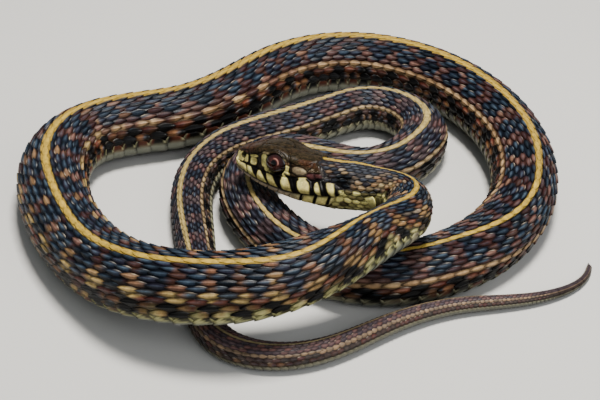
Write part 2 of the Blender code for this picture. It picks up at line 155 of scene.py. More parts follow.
# Half widths of the columns between the bars on the neck, by scale row
COLUMN_WIDTHS = [(0.6, 0.07), (1.5, 0.1), (3.0, 0.14), (4.5, 0.18), (5.6, 0.25), (6.4, 0.29)]
LOWER_BAR_SHIFT = 0.58    # how far the bars under the side stripe lie behind the spots, in spots
# Where the coat's scales begin behind the head's plates, for levels from crown 0 to chin 2
COAT_FRONT = [(0.0, 22.4), (0.12, 23.1), (0.26, 22.6), (0.36, 23.8), (0.53, 24.7), (0.66, 25.4),
              (0.7, 27.9), (0.8, 29.6), (0.95, 30.4), (1.02, 28.9), (1.24, 27.7), (1.3, 17.2),
              (2.0, 16.6)]
THROAT_END = 37.0         # where the throat's scales give way to the belly scutes
THROAT_ROWS = (107.5, 118.5, 129.5, 140.5, 151.5, 162.5, 173.5)
THROAT_SCALE_TURN = 12.5  # width of a throat scale, as a turn
CUTS = (0.0, 95.0, 190.0, 290.0, 400.0, 520.0, 652.0, 999.0)   # where one piece of scales ends
PATCH = 0.0028            # size of one scale on the bake map
# One scale from above: half width by place along it, and how its grid is spread across and along
SCALE_OUTLINE = [(-0.05, 0.30), (0.08, 0.43), (0.25, 0.53), (0.45, 0.55), (0.65, 0.48),
                 (0.82, 0.36), (0.97, 0.21), (1.10, 0.05)]
SCALE_COLUMNS = [(-1, -1), (-0.75, -0.86), (-0.5, -0.56), (-0.25, -0.15), (0, 0),
                 (0.25, 0.15), (0.5, 0.56), (0.75, 0.86), (1, 1)]
SCALE_ROWS = (0, 0.1, 0.26, 0.44, 0.62, 0.78, 0.91, 1)
KEEL_HEIGHT = 0.15
FULL_SCALE = 3.9          # length of the scales that stand at their full height
LEAST_ROOM = 0.35         # scales are left out where the skin is squeezed to less than this share
UNEVEN_ALONG = 0.012      # how unevenly the scales sit, in scale lengths and in degrees
UNEVEN_AROUND = 0.12
BELLY_SCUTE_COLUMNS = 30
TAIL_SCUTE_COLUMNS = 10
# Where the skin's rings lie: close together on the snout and head, wide apart under the scales
SNOUT_RINGS = (0.03, 0.07, 0.12, 0.19, 0.28, 0.38, 0.5)
HEAD_RING_STEP = 0.175
HEAD_SKIN_END = 33.0
BODY_RING_STEP = 2.1
HEAD_COLUMNS = 256
BODY_COLUMNS = 128
TAIL_TIP_GAP = 0.3        # how far before the spine's end the skin closes
TIP_FADE = (745.0, 775.0)   # where the skin rises toward the solids' surface at the tail's tip
SKIN_SEED = 11
SCALE_SEED = 5
SCUTE_SEED = 9
# The skin's unwrap: where each strip begins on the body and on the map, and the length that spans the map
STRIP_STARTS = (33.0, 208.0, 383.0, 558.0, 667.0)
STRIP_LEFTS = (0.005, 0.005, 0.005, 0.375, 0.375)
STRIP_BASES = (0.41, 0.605, 0.80, 0.01, 0.21)
STRIP_LENGTH = 175.0

# Camera that the photo's strands, stripes and spots fit
CAMERA_PITCH = 34.5
CAMERA_FOCAL = 1368.0 / 600.0
CAMERA_DISTANCE = 0.345
SENSOR_WIDTH = 36.0

# The studio's floor, sky and lamps, and the finishes' common values
FLOOR_SIZE = 2.4
FLOOR_DROP = 0.00002      # how far the floor lies under the animal's lowest points
FLOOR_ROUGHNESS = 0.85
FLOOR_COLOUR = (0.62, 0.61, 0.58, 1.0)
SKY_COLOUR = (0.86, 0.93, 1.0, 1.0)
SKY_STRENGTH = 0.22
# The lamps' names, places, sizes, powers and colours
LAMPS = (
    ("key", (0.06, 0.02, 0.64), 0.17, 8.0, (1.0, 0.97, 0.92)),
    ("fill", (0.30, -0.45, 0.38), 0.5, 1.8, (0.95, 0.97, 1.0)),
)
SKIN_IOR = 1.42
SKIN_SHINE = 0.14
EYE_COAT_ROUGHNESS = 0.06
GRAIN_DEPTH = 0.00006
NOISE_MIDDLE = (0.3, 0.7)   # the range that most of the noise lies in
# Finishes: grain size, fine grain size, contrast, roughness, bump and clear coat
FINISHES = {
    "scale_finish": (900.0, 4200.0, 0.28, 0.36, 0.5, 0.0),
    "skin_finish": (800.0, 3000.0, 0.34, 0.3, 0.4, 0.0),
    "belly_finish": (500.0, 3000.0, 0.14, 0.33, 0.12, 0.0),
    "eye_finish": (1600.0, 6000.0, 0.1, 0.2, 0.0, 1.0),
}


def srgb(red, green, blue):
    """Turn a 0 to 255 colour into a linear one."""
    parts = np.array((red, green, blue)) / 255.0
    return np.where(parts <= 0.04045, parts / 12.92, ((parts + 0.055) / 1.055) ** 2.4)


GOLD = srgb(176, 147, 62)
GOLD_EDGE = srgb(150, 120, 50)
GOLD_PALE = srgb(166, 148, 100)
BLUE_BLACK = srgb(10, 14, 22)
SLATE = srgb(27, 37, 51)
BRICK = srgb(58, 30, 27)
PINK_BROWN = srgb(86, 59, 53)
TAN = srgb(118, 91, 63)
YELLOW = srgb(162, 138, 82)
CREAM = srgb(150, 134, 98)
BLACK = srgb(9, 8, 8)
RUST = srgb(64, 28, 19)
RUST_PALE = srgb(90, 48, 28)
RUST_RED = srgb(88, 40, 27)
BROWN = srgb(64, 37, 26)
STRIPE_TAN = srgb(152, 119, 84)
TAWNY = srgb(104, 71, 50)
PLUM_GREY = srgb(64, 57, 62)
PLUM_RED = srgb(68, 43, 43)
# Belly greys, dimmed as painted shade under the body; the darker one lies toward the belly's middle
BELLY = srgb(108, 110, 98)
BELLY_DARK = srgb(66, 68, 66)
BELLY_YELLOW = srgb(160, 156, 104)
GREY_BROWN = srgb(70, 65, 62)
OLIVE = srgb(38, 32, 20)
OLIVE_RED = srgb(58, 37, 28)
LIP_YELLOW = srgb(206, 197, 122)
JAW_PINK = srgb(146, 132, 112)
THROAT = srgb(146, 146, 98)
TEMPLE_TAN = srgb(92, 80, 62)
TEMPLE_RED = srgb(84, 52, 52)
NAPE_GREY = srgb(44, 45, 52)
FLECK = srgb(168, 154, 134)
PLUM_BLACK = srgb(34, 26, 40)
# Colours of the painted glints on the scales' keels and rims
GLINT_BLUE = srgb(98, 118, 134)
GLINT_TAN = srgb(168, 130, 100)
IRIS_DARK = srgb(46, 18, 18)
IRIS_WARM = srgb(72, 32, 28)
IRIS_RIM = srgb(38, 17, 17)
IRIS_LIT = srgb(186, 130, 116)
EYE_EDGE = srgb(12, 9, 9)
PUPIL = srgb(4, 4, 5)
EYE_BACK = srgb(10, 9, 9)


def smooth(value, low, high):
    """Return 0 below low, 1 above high and a smooth rise between."""
    t = np.clip((value - low) / (high - low), 0.0, 1.0)
    return t * t * (3.0 - 2.0 * t)


def fall(value, low, high):
    """Return 1 below low, 0 above high and a smooth fall between."""
    return 1.0 - smooth(value, low, high)


def hump(value, middle, width):
    """Return 1 at the middle and a bell-shaped fall to 0 on both sides."""
    return np.exp(-(((value - middle) / width) ** 2))


def value_at(table, s):
    """Return the value of a table of (distance, value) pairs at the distances s."""
    return np.interp(s, *zip(*table))


def blend(first, second, share):
    """Blend two numbers, or two arrays of numbers, by an array of shares."""
    return first * (1.0 - share) + second * share


def mix(first, second, share):
    """Blend two colours, or two arrays of colours, by an array of shares."""
    return blend(first, second, np.asarray(share)[..., None])


def layered(colour, *layers):
    """Return a colour with others laid over it in turn, each a pair of a colour and its shares."""
    for over, share in layers:
        colour = mix(colour, over, share)
    return colour


def reshuffle(luck, factor=7.31):
    """Return another chance number of the same scale, worked out from its first."""
    return (luck * factor) % 1.0


def wander(place, seed):
    """Return a slow smooth wobble between about -1 and 1."""
    return 0.5 * np.sin(place * 1.0 + seed) + 0.3 * np.sin(place * 2.3 + 1.7 * seed) \
        + 0.2 * np.sin(place * 5.1 + 2.9 * seed)


def run_along(points):
    """Return how far each point of a line lies from its start, along the line."""
    return np.concatenate([[0.0], np.cumsum(np.linalg.norm(np.diff(points, axis=0), axis=1))])


def columns_at(x, knots, table):
    """Return the columns of a table at x, read between its knots."""
    return np.stack([np.interp(x, knots, column) for column in table.T], axis=-1)


def cubic_through(knots, values):
    """Return a function that runs a natural cubic spline through values at the knots."""
    knots = np.asarray(knots, float)
    values = np.asarray(values, float).reshape(len(knots), -1)
    step = np.diff(knots)
    slope = np.diff(values, axis=0) / step[:, None]
    count = len(knots)
    matrix = np.eye(count)
    target = np.zeros_like(values)
    for i in range(1, count - 1):
        matrix[i, i - 1] = step[i - 1]
        matrix[i, i] = 2.0 * (step[i - 1] + step[i])
        matrix[i, i + 1] = step[i]
        target[i] = 6.0 * (slope[i] - slope[i - 1])
    bend = np.linalg.solve(matrix, target)

    def at(x):
        """Return the spline's values at x."""
        x = np.atleast_1d(np.asarray(x, float))
        i = np.clip(np.searchsorted(knots, x) - 1, 0, count - 2)
        h = step[i][:, None]
        left = (knots[i + 1] - x)[:, None]
        right = (x - knots[i])[:, None]
        curve = (bend[i] * left ** 3 + bend[i + 1] * right ** 3) / (6.0 * h)
        curve += (values[i] / h - bend[i] * h / 6.0) * left
        curve += (values[i + 1] / h - bend[i + 1] * h / 6.0) * right
        return curve

    return at


class Body:
    """The animal's surface: a place and an outward direction for any distance and turn.

    A turn runs from 0 on the middle of the back to 180 on the middle of the belly, positive on
    the animal's right side and negative on its left, in equal steps along the skin.
    """

    STEP = 0.25
    TURNS = np.linspace(0.0, 180.0, 361)

    def __init__(self):
        """Lay the spine through the route and tabulate its widths, directions and outlines."""
        route = np.array(ROUTE, float)
        route[:, 0] -= COIL_MIDDLE[0]
        route[:, 1] -= COIL_MIDDLE[1]
        knots = run_along(route[:, :3])
        fine = cubic_through(knots, route)(np.linspace(0.0, knots[-1], SPINE_STEPS))
        along = run_along(fine[:, :3])
        self.length = float(along[-1])
        self.table = np.arange(0.0, self.length, self.STEP)
        row = columns_at(self.table, along, fine)
        girth = np.array(GIRTH, float)
        spread = cubic_through(girth[:, 0] * self.length / girth[-1, 0], girth[:, 1])
        self.widths = spread(self.table)[:, 0]
        row[:, 2] = np.maximum(row[:, 2], 0.0) + HEIGHT_RATIO * self.widths - SINK
        self.places = row[:, :3]
        self.set_directions(np.radians(row[:, 3]))
        self.set_sections()

    def set_directions(self, lean):
        """Work out the tailward, rightward and dorsal directions along the spine."""
        reach = 3
        count = len(self.table)
        order = np.arange(count)
        ahead = self.places[np.minimum(order + reach, count - 1)]
        behind = self.places[np.maximum(order - reach, 0)]
        tailward = ahead - behind
        tailward /= np.linalg.norm(tailward, axis=1)[:, None]
        level = np.cross((0.0, 0.0, 1.0), tailward)
        level /= np.linalg.norm(level, axis=1)[:, None]
        upright = np.cross(tailward, level)
        cosine = np.cos(lean)[:, None]
        sine = np.sin(lean)[:, None]
        self.tailward = tailward
        self.rightward = cosine * level - sine * upright
        self.dorsal = cosine * upright + sine * level

    def set_sections(self):
        """Tabulate the body's and the head's half outlines over the turns."""
        turned = np.radians(np.linspace(0.0, 180.0, 1441))
        up = np.cos(turned)
        up = np.where(up > 0.0, up, -(np.abs(up) ** BELLY_SQUARENESS)) * HEIGHT_RATIO
        outline = np.stack([np.sin(turned), up], axis=1)
        reach = run_along(outline)
        self.unit = columns_at(self.TURNS / 180.0 * reach[-1], reach, outline)
        sizes = cubic_through([row[0] for row in HEAD_SHAPE], [row[1:] for row in HEAD_SHAPE])
        self.head_stations = np.arange(0.3, HEAD_END + 0.05, 0.1)
        self.head = np.array([self.head_half(size) for size in sizes(self.head_stations)])

    def head_half(self, size):
        """Return the smooth half outline of the head for one row of sizes."""
        lips, crown_edge, edge_height, crown, chin, mouth = size
        jaw = lips - LOWER_JAW_INSET
        upper = self.through([
            (0.0, crown),
            (0.6 * crown_edge, crown - 0.25 * (crown - edge_height)),
            (crown_edge, edge_height),
            (crown_edge + 0.62 * (lips - crown_edge), 0.5 * (edge_height + mouth)),
            (lips, mouth + min(LIP_HEIGHT, 0.45 * (edge_height - mouth))),
            (lips - 0.1, mouth + LIP_CREASE),
        ], self.TURNS[self.TURNS <= LIP_TURN] / LIP_TURN)
        lower = self.through([
            (jaw, mouth - LIP_CREASE),
            (0.96 * jaw, mouth - 0.45 * (chin + mouth)),
            (0.66 * jaw, -0.93 * chin),
            (0.0, -chin),
        ], (self.TURNS[self.TURNS > LIP_TURN] - LIP_TURN) / (180.0 - LIP_TURN))
        return np.concatenate([upper, lower])

    @staticmethod
    def through(corners, shares):
        """Return points at shares of the length of a smooth curve through (right, up) corners."""
        corners = np.array(corners, float)
        reach = run_along(corners)
        fine = cubic_through(reach, corners)(np.linspace(0.0, reach[-1], OUTLINE_STEPS))
        run = run_along(fine)
        return columns_at(shares * run[-1], run, fine)

    def along(self, table, s):
        """Read one of the tables along the spine at the distances s."""
        if table.ndim == 1:
            return np.interp(s, self.table, table)
        return columns_at(s, self.table, table)

    def width(self, s):
        """Return half the body's width at s."""
        return self.along(self.widths, s)

    def section(self, s, turn):
        """Return how far right and up the skin lies from the spine."""
        turn = (turn + value_at(ROLL, s) + 180.0) % 360.0 - 180.0
        half = np.abs(turn)
        place = np.clip(half * 2.0, 0.0, 359.999)
        low = place.astype(int)
        part = (place - low)[..., None]
        trunk = blend(self.unit[low], self.unit[low + 1], part) * self.width(s)[..., None]
        station = np.clip((s - 0.3) * 10.0, 0.0, len(self.head_stations) - 1.001)
        before = station.astype(int)
        near, far = [
            blend(self.head[row, low], self.head[row, low + 1], part) for row in (before, before + 1)
        ]
        head = blend(near, far, (station - before)[..., None])
        closing = np.sqrt(np.clip(s / 0.3, 0.0, 1.0))[..., None]
        tip = np.array((0.0, SNOUT_TIP_HEIGHT))
        head = tip + (head - tip) * closing
        outline = mix(head, trunk, smooth(s, 27.0, 36.0))
        outline[..., 0] *= np.sign(turn)
        return outline

    def place(self, s, turn):
        """Return the surface point in millimetres."""
        outline = self.section(s, turn)
        point = self.along(self.places, s)
        point = point + self.along(self.rightward, s) * outline[..., :1]
        return point + self.along(self.dorsal, s) * outline[..., 1:]

    def stretch(self, s, turn):
        """Return how much longer the skin is along the body than the spine beside it."""
        ahead = self.place(s + 0.4, turn) - self.place(s - 0.4, turn)
        return np.sum(ahead * self.along(self.tailward, s), axis=-1) / 0.8

    def surface(self, s, turn):
        """Return the surface points and the outward directions there."""
        s = np.asarray(s, float)
        turn = np.asarray(turn, float)
        ahead = self.place(np.minimum(s + 0.2, self.length - 0.3), turn)
        behind = self.place(np.maximum(s - 0.2, 0.01), turn)
        more = self.place(s, turn + 0.8)
        less = self.place(s, turn - 0.8)
        outward = np.cross(ahead - behind, more - less)
        outward /= np.maximum(np.linalg.norm(outward, axis=-1), 1e-9)[..., None]
        return self.place(s, turn), outward


def on_floor(points):
    """Press skin that would reach under the floor softly onto it."""
    points = points.copy()
    height = points[..., 2]
    pressed = 0.5 * (height + np.sqrt(height ** 2 + FLOOR_SOFTNESS))
    points[..., 2] = np.where(height > FLOOR_REACH, height, pressed)
    return points


body = Body()

# The scale rows: their middles over the turn, and the count of scales along the body
ROW_UNIT = SCUTE_EDGE_TURN / (sum(ROW_WIDTHS) - 0.5)
ROW_MIDDLES = np.cumsum(ROW_WIDTHS[:-1]) - 0.5 + np.array(ROW_WIDTHS[1:]) / 2
ROW_CENTRES = np.concatenate([[0.0], ROW_MIDDLES]) * ROW_UNIT
COUNT_STEP = 0.25
COUNT_TABLE = np.arange(0.0, body.length, COUNT_STEP)
SCALE_SHARE = [(20.0, 0.27), (34.0, 0.33), (60.0, 0.42), (110.0, 0.47)]   # of half the body's width
SHORTEST_SCALE = 0.95
SCALE_LENGTH = np.maximum(body.width(COUNT_TABLE) * value_at(SCALE_SHARE, COUNT_TABLE), SHORTEST_SCALE)
COUNTS = np.concatenate([[0.0], np.cumsum(COUNT_STEP / SCALE_LENGTH[:-1])])
ROW_TURNS = np.concatenate([ROW_CENTRES, [SCUTE_EDGE_TURN + 6, 180.0]])


def count_at(s):
    """Return how many scale lengths lie between the snout and s."""
    return np.interp(s, COUNT_TABLE, COUNTS)


def distance_at(count):
    """Return how far from the snout a number of scale lengths reaches."""
    return np.interp(count, COUNTS, COUNT_TABLE)


def row_at(turn):
    """Return the scale row at a turn as a number: 0 on the back, 9 beside the belly scutes."""
    return np.interp(np.abs(turn), ROW_TURNS, [*range(11), 16])


def spot_cycle(s, side):
    """Return how many spots lie between the neck and s, whole numbers being spots' middles."""
    far_side = smooth(side * (s - 180.0), 0.0, 25.0) * (s < 380.0)
    return np.interp(s, SPOTS_AT, np.arange(len(SPOTS_AT))) + 0.2 * far_side


def off_whole(cycle):
    """Return the distance to the nearest whole number."""
    return np.abs((cycle + 0.5) % 1.0 - 0.5)


def ground_colour(row, s, luck):
    """Return the brick and tan colour between the spots, greyer toward the tail."""
    luck_two = reshuffle(luck)
    fleck = smooth(luck_two, 0.62, 0.85) * (0.08 + 0.5 * fall(s, *FRONT_FADE))
    return layered(
        mix(BRICK, PINK_BROWN, smooth(luck, 0.2, 1.0) * 0.9),
        (mix(BROWN, TAWNY, luck), 0.8 * fall(s, 95.0, 130.0)),
        (mix(TAN, YELLOW, luck * 0.7), fleck * smooth(row, 1.0, 2.6)),
        (mix(PLUM_GREY, PLUM_RED, smooth(luck, 0.45, 0.8)), 0.75 * smooth(s, *GREY_FADE)),
        (mix(PLUM_GREY * 1.7, PINK_BROWN * 1.25, luck), 0.85 * smooth(s, *TAIL_FADE)),
    )


def spot_colour(luck):
    """Return the blue black colour of the spots."""
    dark = mix(BLUE_BLACK, SLATE, 0.8 * reshuffle(luck, 13.7))
    return mix(dark, PLUM_BLACK, 0.6 * smooth(reshuffle(luck), 0.6, 0.9))


def spot_share(row, s, cycle):
    """Return 1 on the dark spots, two rows of them on each side."""
    grey = smooth(s, *GREY_FADE)
    # the two rows of spots alternate between about 205 and 330 mm from the snout
    lower = off_whole(cycle)
    upper = off_whole(cycle + 0.5 * (smooth(s, 195.0, 215.0) - smooth(s, 315.0, 345.0)))
    reach = 0.33 - 0.05 * grey
    rows = ((upper, reach - 0.03, UPPER_SPOT), (lower, reach, LOWER_SPOT))
    upper_spot, lower_spot = [
        fall((off / length) ** 3 + (np.abs(row - middle) / height) ** 4, 0.8, 1.1)
        for off, length, (middle, height) in rows
    ]
    spots = np.maximum(upper_spot, lower_spot)
    # on the neck and front the spots run together in tall bars, the columns between widening downward
    tall = smooth(0.5 - lower - value_at(COLUMN_WIDTHS, row), -0.05, 0.05)
    spots = blend(spots, tall, fall(s, 165.0, 200.0))
    return spots * (1.0 - 0.15 * grey - 0.55 * smooth(s, *TAIL_FADE))


def add_back_stripe(colour, count, row, s, luck):
    """Return the colour with the golden stripe on the back and its dark edge laid over it."""
    grey = smooth(s, *GREY_FADE)
    tail = smooth(s, *TAIL_FADE)
    edge = value_at(STRIPE_HALF, s) + 0.05 * np.cos(2.0 * np.pi * (count + 0.25))
    stripe = fall(row, edge - 0.05, edge + 0.05)
    dark_edge = fall(np.abs(row - edge - 0.12), 0.08, 0.25) * (0.85 - 0.5 * tail)
    colour = mix(colour, BLUE_BLACK, dark_edge)
    gold = mix(GOLD, GOLD_EDGE, 0.5 * smooth(row, 0.4, 0.75) + 0.35 * reshuffle(luck))
    gold = mix(gold, GOLD_PALE, 0.75 * grey)
    gold = mix(gold, mix(CREAM, GREY_BROWN, 0.35), 0.8 * tail)
    return mix(colour, gold, stripe)


def lower_side_colour(count, row, s, cycle, luck):
    """Return the bars and rust patches under the side stripe."""
    front = fall(s, *FRONT_FADE)
    nearer = fall(s, 96.0, 124.0)
    grey = smooth(s, *GREY_FADE)
    tail = smooth(s, *TAIL_FADE)
    rust = layered(
        mix(RUST, mix(RUST_PALE, RUST_RED, smooth(s, 90.0, 112.0)), luck),
        (mix(GREY_BROWN, OLIVE_RED, luck) * 0.9, 0.65 * grey),
        (mix(GREY_BROWN, BRICK * 1.2, luck), 0.9 * tail),
    )
    below = off_whole(cycle - LOWER_BAR_SHIFT)
    bar = fall(below, 0.2, 0.28)
    small = fall(0.5 - below, 0.08, 0.14) * smooth(row, 8.5, 8.9) * (1.0 - 0.8 * nearer)
    rim = fall(np.abs(below - 0.31), 0.03, 0.08) * smooth(row, 7.6, 8.8)
    share = (count + 0.5 * (np.round(row) % 2)) % 1.0
    last_row = smooth(row, 7.5, 7.9)
    colour = mix(rust, YELLOW, np.clip(rim * (0.12 + 0.48 * front), 0, 1))
    green = mix(mix(TAN, YELLOW, luck), BELLY_YELLOW, 0.6 * nearer)
    green = mix(rust, green, 0.35 + 0.65 * smooth(row, 8.2, 8.9))
    green_share = last_row * smooth(share, 0.4, 0.6) * (0.14 + 0.26 * front + 0.5 * nearer)
    colour = mix(colour, green, green_share * (1.0 - 0.7 * grey))
    joint = last_row * fall(share, 0.25, 0.5) * (0.6 + 0.4 * front) * smooth(row, 8.2, 8.9)
    colour = mix(colour, BLACK, np.maximum(np.maximum(bar, small), joint) * (1.0 - 0.55 * tail))
    wedge = smooth(below - 0.46 + 0.1 * (row - 7.6), 0.0, 0.06) * smooth(row, 7.6, 8.0) * nearer
    return mix(colour, BELLY_YELLOW * (0.75 + 0.3 * luck)[..., None], 0.85 * wedge)


def add_side_stripe(colour, count, row, s, cycle, luck):
    """Return the colour with the side stripe, pairs of pale scales, and what lies under it."""
    luck_two = reshuffle(luck)
    front = fall(s, *FRONT_FADE)
    behind = smooth(s, 185.0, 210.0)
    grey = smooth(s, *GREY_FADE)
    wave = 0.5 - 0.5 * np.cos(2.0 * np.pi * (cycle + 0.3 * behind))
    thick = 0.3 + 0.28 * wave - 0.1 * behind + grey * (0.14 - 0.24 * wave)
    broken = 1.0 - (0.97 - 0.9 * smooth(s, 240.0, 300.0)) * fall(wave - 0.2 * front, 0.3, 0.6)
    middle = value_at(STRIPE_ROW, s)
    off = np.abs(row - middle - 0.3 * (wave - 0.5) * (1.0 - grey))
    side_stripe = fall(off, thick, thick + 0.2) * broken
    pale = layered(
        mix(CREAM, TAN, 0.3 + 0.3 * luck),
        (YELLOW, 0.75 * front),
        (mix(TAN, RUST_PALE, luck_two), 0.65 * fall(s, 76.0, 96.0)),
        (mix(STRIPE_TAN, CREAM, 0.4 * luck), behind),
        (mix(CREAM, GREY_BROWN, 0.2), 0.6 * grey),
    )
    under = lower_side_colour(count, row, s, cycle, luck)
    colour = mix(colour, under, smooth(row - middle, 0.4, 0.65))
    return mix(colour, pale, side_stripe * (1.0 - 0.52 * smooth(s, *TAIL_FADE)))


def body_marking(count, row, s, side, luck):
    """Return the colour of the coat at a place on the neck, trunk or tail."""
    cycle = spot_cycle(s, side)
    colour = mix(ground_colour(row, s, luck), spot_colour(luck), spot_share(row, s, cycle))
    colour = add_back_stripe(colour, count, row, s, luck)
    return add_side_stripe(colour, count, row, s, cycle, luck)


def belly_marking(count, turn, s, side, luck):
    """Return the colour of the belly scutes."""
    out = np.abs(turn)
    front = fall(s, 150.0, 240.0)
    tail = smooth(s, *TAIL_FADE)
    # painted shade: the belly's grey is dimmed, and darker still toward its middle underneath
    base = mix(BELLY, BELLY_DARK, smooth(out, 118.0, 150.0) * 0.8)
    tip = fall(out, 110.0, 120.0) * (0.35 + 0.55 * front)
    base = mix(base, mix(CREAM, BELLY_YELLOW, 0.5 + 0.5 * front), tip)
    base = mix(base, GREY_BROWN, 0.4 * tail)
    share = (count - 0.5) % 1.0
    wedge = 0.56 - 0.03 * (out - 103.0)
    joint = fall(share - wedge, -0.06, 0.06)
    nearest = off_whole(spot_cycle(s, side) - LOWER_BAR_SHIFT)
    reach = 0.45 + 0.55 * fall(nearest, 0.2, 0.34)
    reach = np.maximum(reach, 0.9 * front)
    spot = joint * fall(out, 107.0 + 9.0 * reach, 114.0 + 9.0 * reach) * reach
    bar = fall(nearest, 0.14, 0.22) * fall(share, 0.6, 0.8) * fall(out, 108.0, 113.0)
    colour = mix(base, BLACK, np.clip(np.maximum(spot, bar), 0, 0.95) * (1.0 - 0.55 * tail))
    edge = mix(mix(RUST, RUST_RED, luck), BLACK, fall(nearest, 0.22, 0.3))
    high = smooth(s, 108.0, 130.0) * fall(s, 400.0, 430.0) * fall(share, 0.78, 0.9)
    return mix(colour, edge, 0.95 * high * fall(out, 111.0, 117.0))


def neck_marking(colour, s, turn, luck):
    """Return the coat's colour with the nape's blotch, the speckled cheek and the yellow throat, lifted
    by painted light.
    """
    out = np.abs(turn)
    row = row_at(turn)
    luck_two = reshuffle(luck, 5.7)
    off_stripe = smooth(row, 0.85, 1.1)
    nape = fall(s + 0.06 * out, 38.0, 47.0) * off_stripe * fall(out, 96.0, 102.0)
    base = mix(NAPE_GREY, mix(OLIVE, OLIVE_RED, luck), smooth(luck, 0.35, 0.7) * fall(s, 26.0, 31.0))
    speckles = 0.75 * smooth(luck, 0.68, 0.85) * smooth(out, 30.0, 55.0)
    base = mix(base, mix(CREAM, RUST_PALE, luck_two), speckles)
    colour = mix(colour, base, nape)
    speckled = smooth(reshuffle(luck, 17.3), 0.66, 0.8) * fall(s, 52.0, 66.0) * smooth(out, 22.0, 34.0)
    colour = mix(colour, mix(FLECK, TEMPLE_TAN, luck_two), 0.5 * speckled * off_stripe)
    blotch = np.maximum(blob(s, out, 30.3, 70.0, 2.0, 17.0), blob(s, out, 37.0, 90.0, 2.4, 12.0))
    colour = mix(colour, BLACK, 0.9 * blotch * off_stripe)
    line = 86.0 - 2.6 * (s - 33.5)
    row_of_cream = fall(np.abs(out - np.maximum(line, 57.0)), 7.0, 10.0) * smooth(s, 32.6, 33.4)
    row_of_cream = row_of_cream * fall(s, 43.0, 46.0) * smooth(luck, 0.15, 0.3)
    colour = mix(colour, mix(CREAM, TAN, luck_two), row_of_cream)
    throat = fall(s, 40.0, 52.0) * smooth(out, 93.0, 97.0)
    pale = mix(LIP_YELLOW, THROAT, smooth(out, 115.0, 150.0))
    # painted light: the throat's yellow is lifted 1.9-fold near the lips and 1.2-fold underneath, above
    # its own colour, to make up for the shade under the head
    pale = pale * (1.9 - 0.7 * smooth(out, 112.0, 130.0))[..., None]
    first_scutes = smooth(s, THROAT_END - 1.0, THROAT_END) * 0.45
    pale = pale * ((0.85 + 0.5 * luck) * (1.0 - first_scutes))[..., None]
    pale = mix(pale, mix(OLIVE, BLACK, 0.5), 0.9 * smooth(luck_two, 0.58, 0.68))
    return mix(colour, pale, throat)


# Borders of the head's plates as (distance from the snout, place between crown 0, lips 1, chin 2)
LIP_BORDERS = [
    ((5.1, 1.0), (4.2, 0.77)), ((8.0, 1.0), (6.9, 0.78)), ((11.6, 1.0), (9.7, 0.805)),
    ((15.2, 1.0), (13.4, 0.80)), ((19.9, 1.0), (17.7, 0.72)), ((24.3, 1.0), (22.9, 0.70)),
    ((27.3, 1.0), (25.2, 0.66)), ((30.4, 0.95), (28.9, 0.60)),
]
JAW_BORDERS = [(3.6, 3.2), (6.0, 5.4), (8.6, 7.9), (11.3, 10.5), (14.4, 13.4), (17.9, 16.8),
               (21.6, 20.6), (24.9, 24.0), (27.6, 26.8)]
PLATE_BORDERS = [
    [(1.5, 0.0), (1.45, 0.25), (1.3, 0.5), (1.15, 0.8), (1.3, 1.0)],
    [(1.5, 0.0), (4.1, 0.0)], [(4.1, 0.0), (7.5, 0.0)], [(15.1, 0.0), (22.4, 0.0)],
    [(4.1, 0.0), (4.0, 0.2), (4.3, 0.42)],
    [(1.35, 0.36), (2.6, 0.40), (4.3, 0.42)],
    [(7.5, 0.0), (7.7, 0.2), (8.2, 0.34), (8.5, 0.45)],
    [(4.3, 0.42), (5.2, 0.54), (6.6, 0.53), (7.6, 0.48), (8.5, 0.45)],
    [(7.7, 0.21), (10.5, 0.185), (13.2, 0.17), (15.1, 0.0)],
    [(13.2, 0.17), (15.0, 0.25), (16.0, 0.36), (16.2, 0.45)],
    [(8.5, 0.45), (9.6, 0.41)],
    [(16.2, 0.45), (18.5, 0.47), (20.8, 0.42), (22.6, 0.26), (23.0, 0.12), (22.4, 0.0)],
    [(4.3, 0.42), (4.9, 0.55), (4.9, 0.77)],
    [(3.3, 0.41), (3.2, 0.5)], [(3.2, 0.6), (3.4, 0.77)],
    [(1.2, 0.76), (3.4, 0.77), (4.9, 0.77), (7.4, 0.78), (9.7, 0.805), (10.6, 0.78)],
    [(7.4, 0.50), (7.5, 0.78)],
    [(16.2, 0.45), (17.1, 0.51), (17.3, 0.62), (17.0, 0.73)],
    [(17.1, 0.51), (18.4, 0.475), (20.0, 0.48), (21.2, 0.53), (21.4, 0.58), (20.6, 0.625), (18.9, 0.655),
     (17.3, 0.62)],
    [(15.7, 0.53), (17.2, 0.53)], [(15.8, 0.64), (17.3, 0.64)],
    [(15.2, 0.76), (17.0, 0.73), (17.8, 0.72), (19.4, 0.66), (21.2, 0.635), (22.8, 0.70),
     (24.2, 0.665), (25.2, 0.66), (27.0, 0.66), (28.9, 0.60)],
    [(21.2, 0.53), (21.9, 0.46), (22.0, 0.36)],
    [(21.4, 0.575), (22.6, 0.55), (24.6, 0.53)], [(22.9, 0.555), (23.4, 0.61), (23.1, 0.69)],
    [(22.4, 0.29), (23.8, 0.35), (24.6, 0.53), (25.2, 0.66)],
    [(2.0, 1.0), (2.3, 1.3), (3.0, 1.6), (3.2, 2.0)], [(3.2, 2.0), (16.5, 2.0)],
    [(2.3, 1.25), (6.0, 1.27), (12.0, 1.27), (17.0, 1.27), (22.0, 1.27), (27.6, 1.25)],
    [(9.4, 2.0), (9.2, 1.6), (8.6, 1.27)], [(16.5, 2.0), (15.0, 1.6), (12.5, 1.38), (9.2, 1.45)],
]


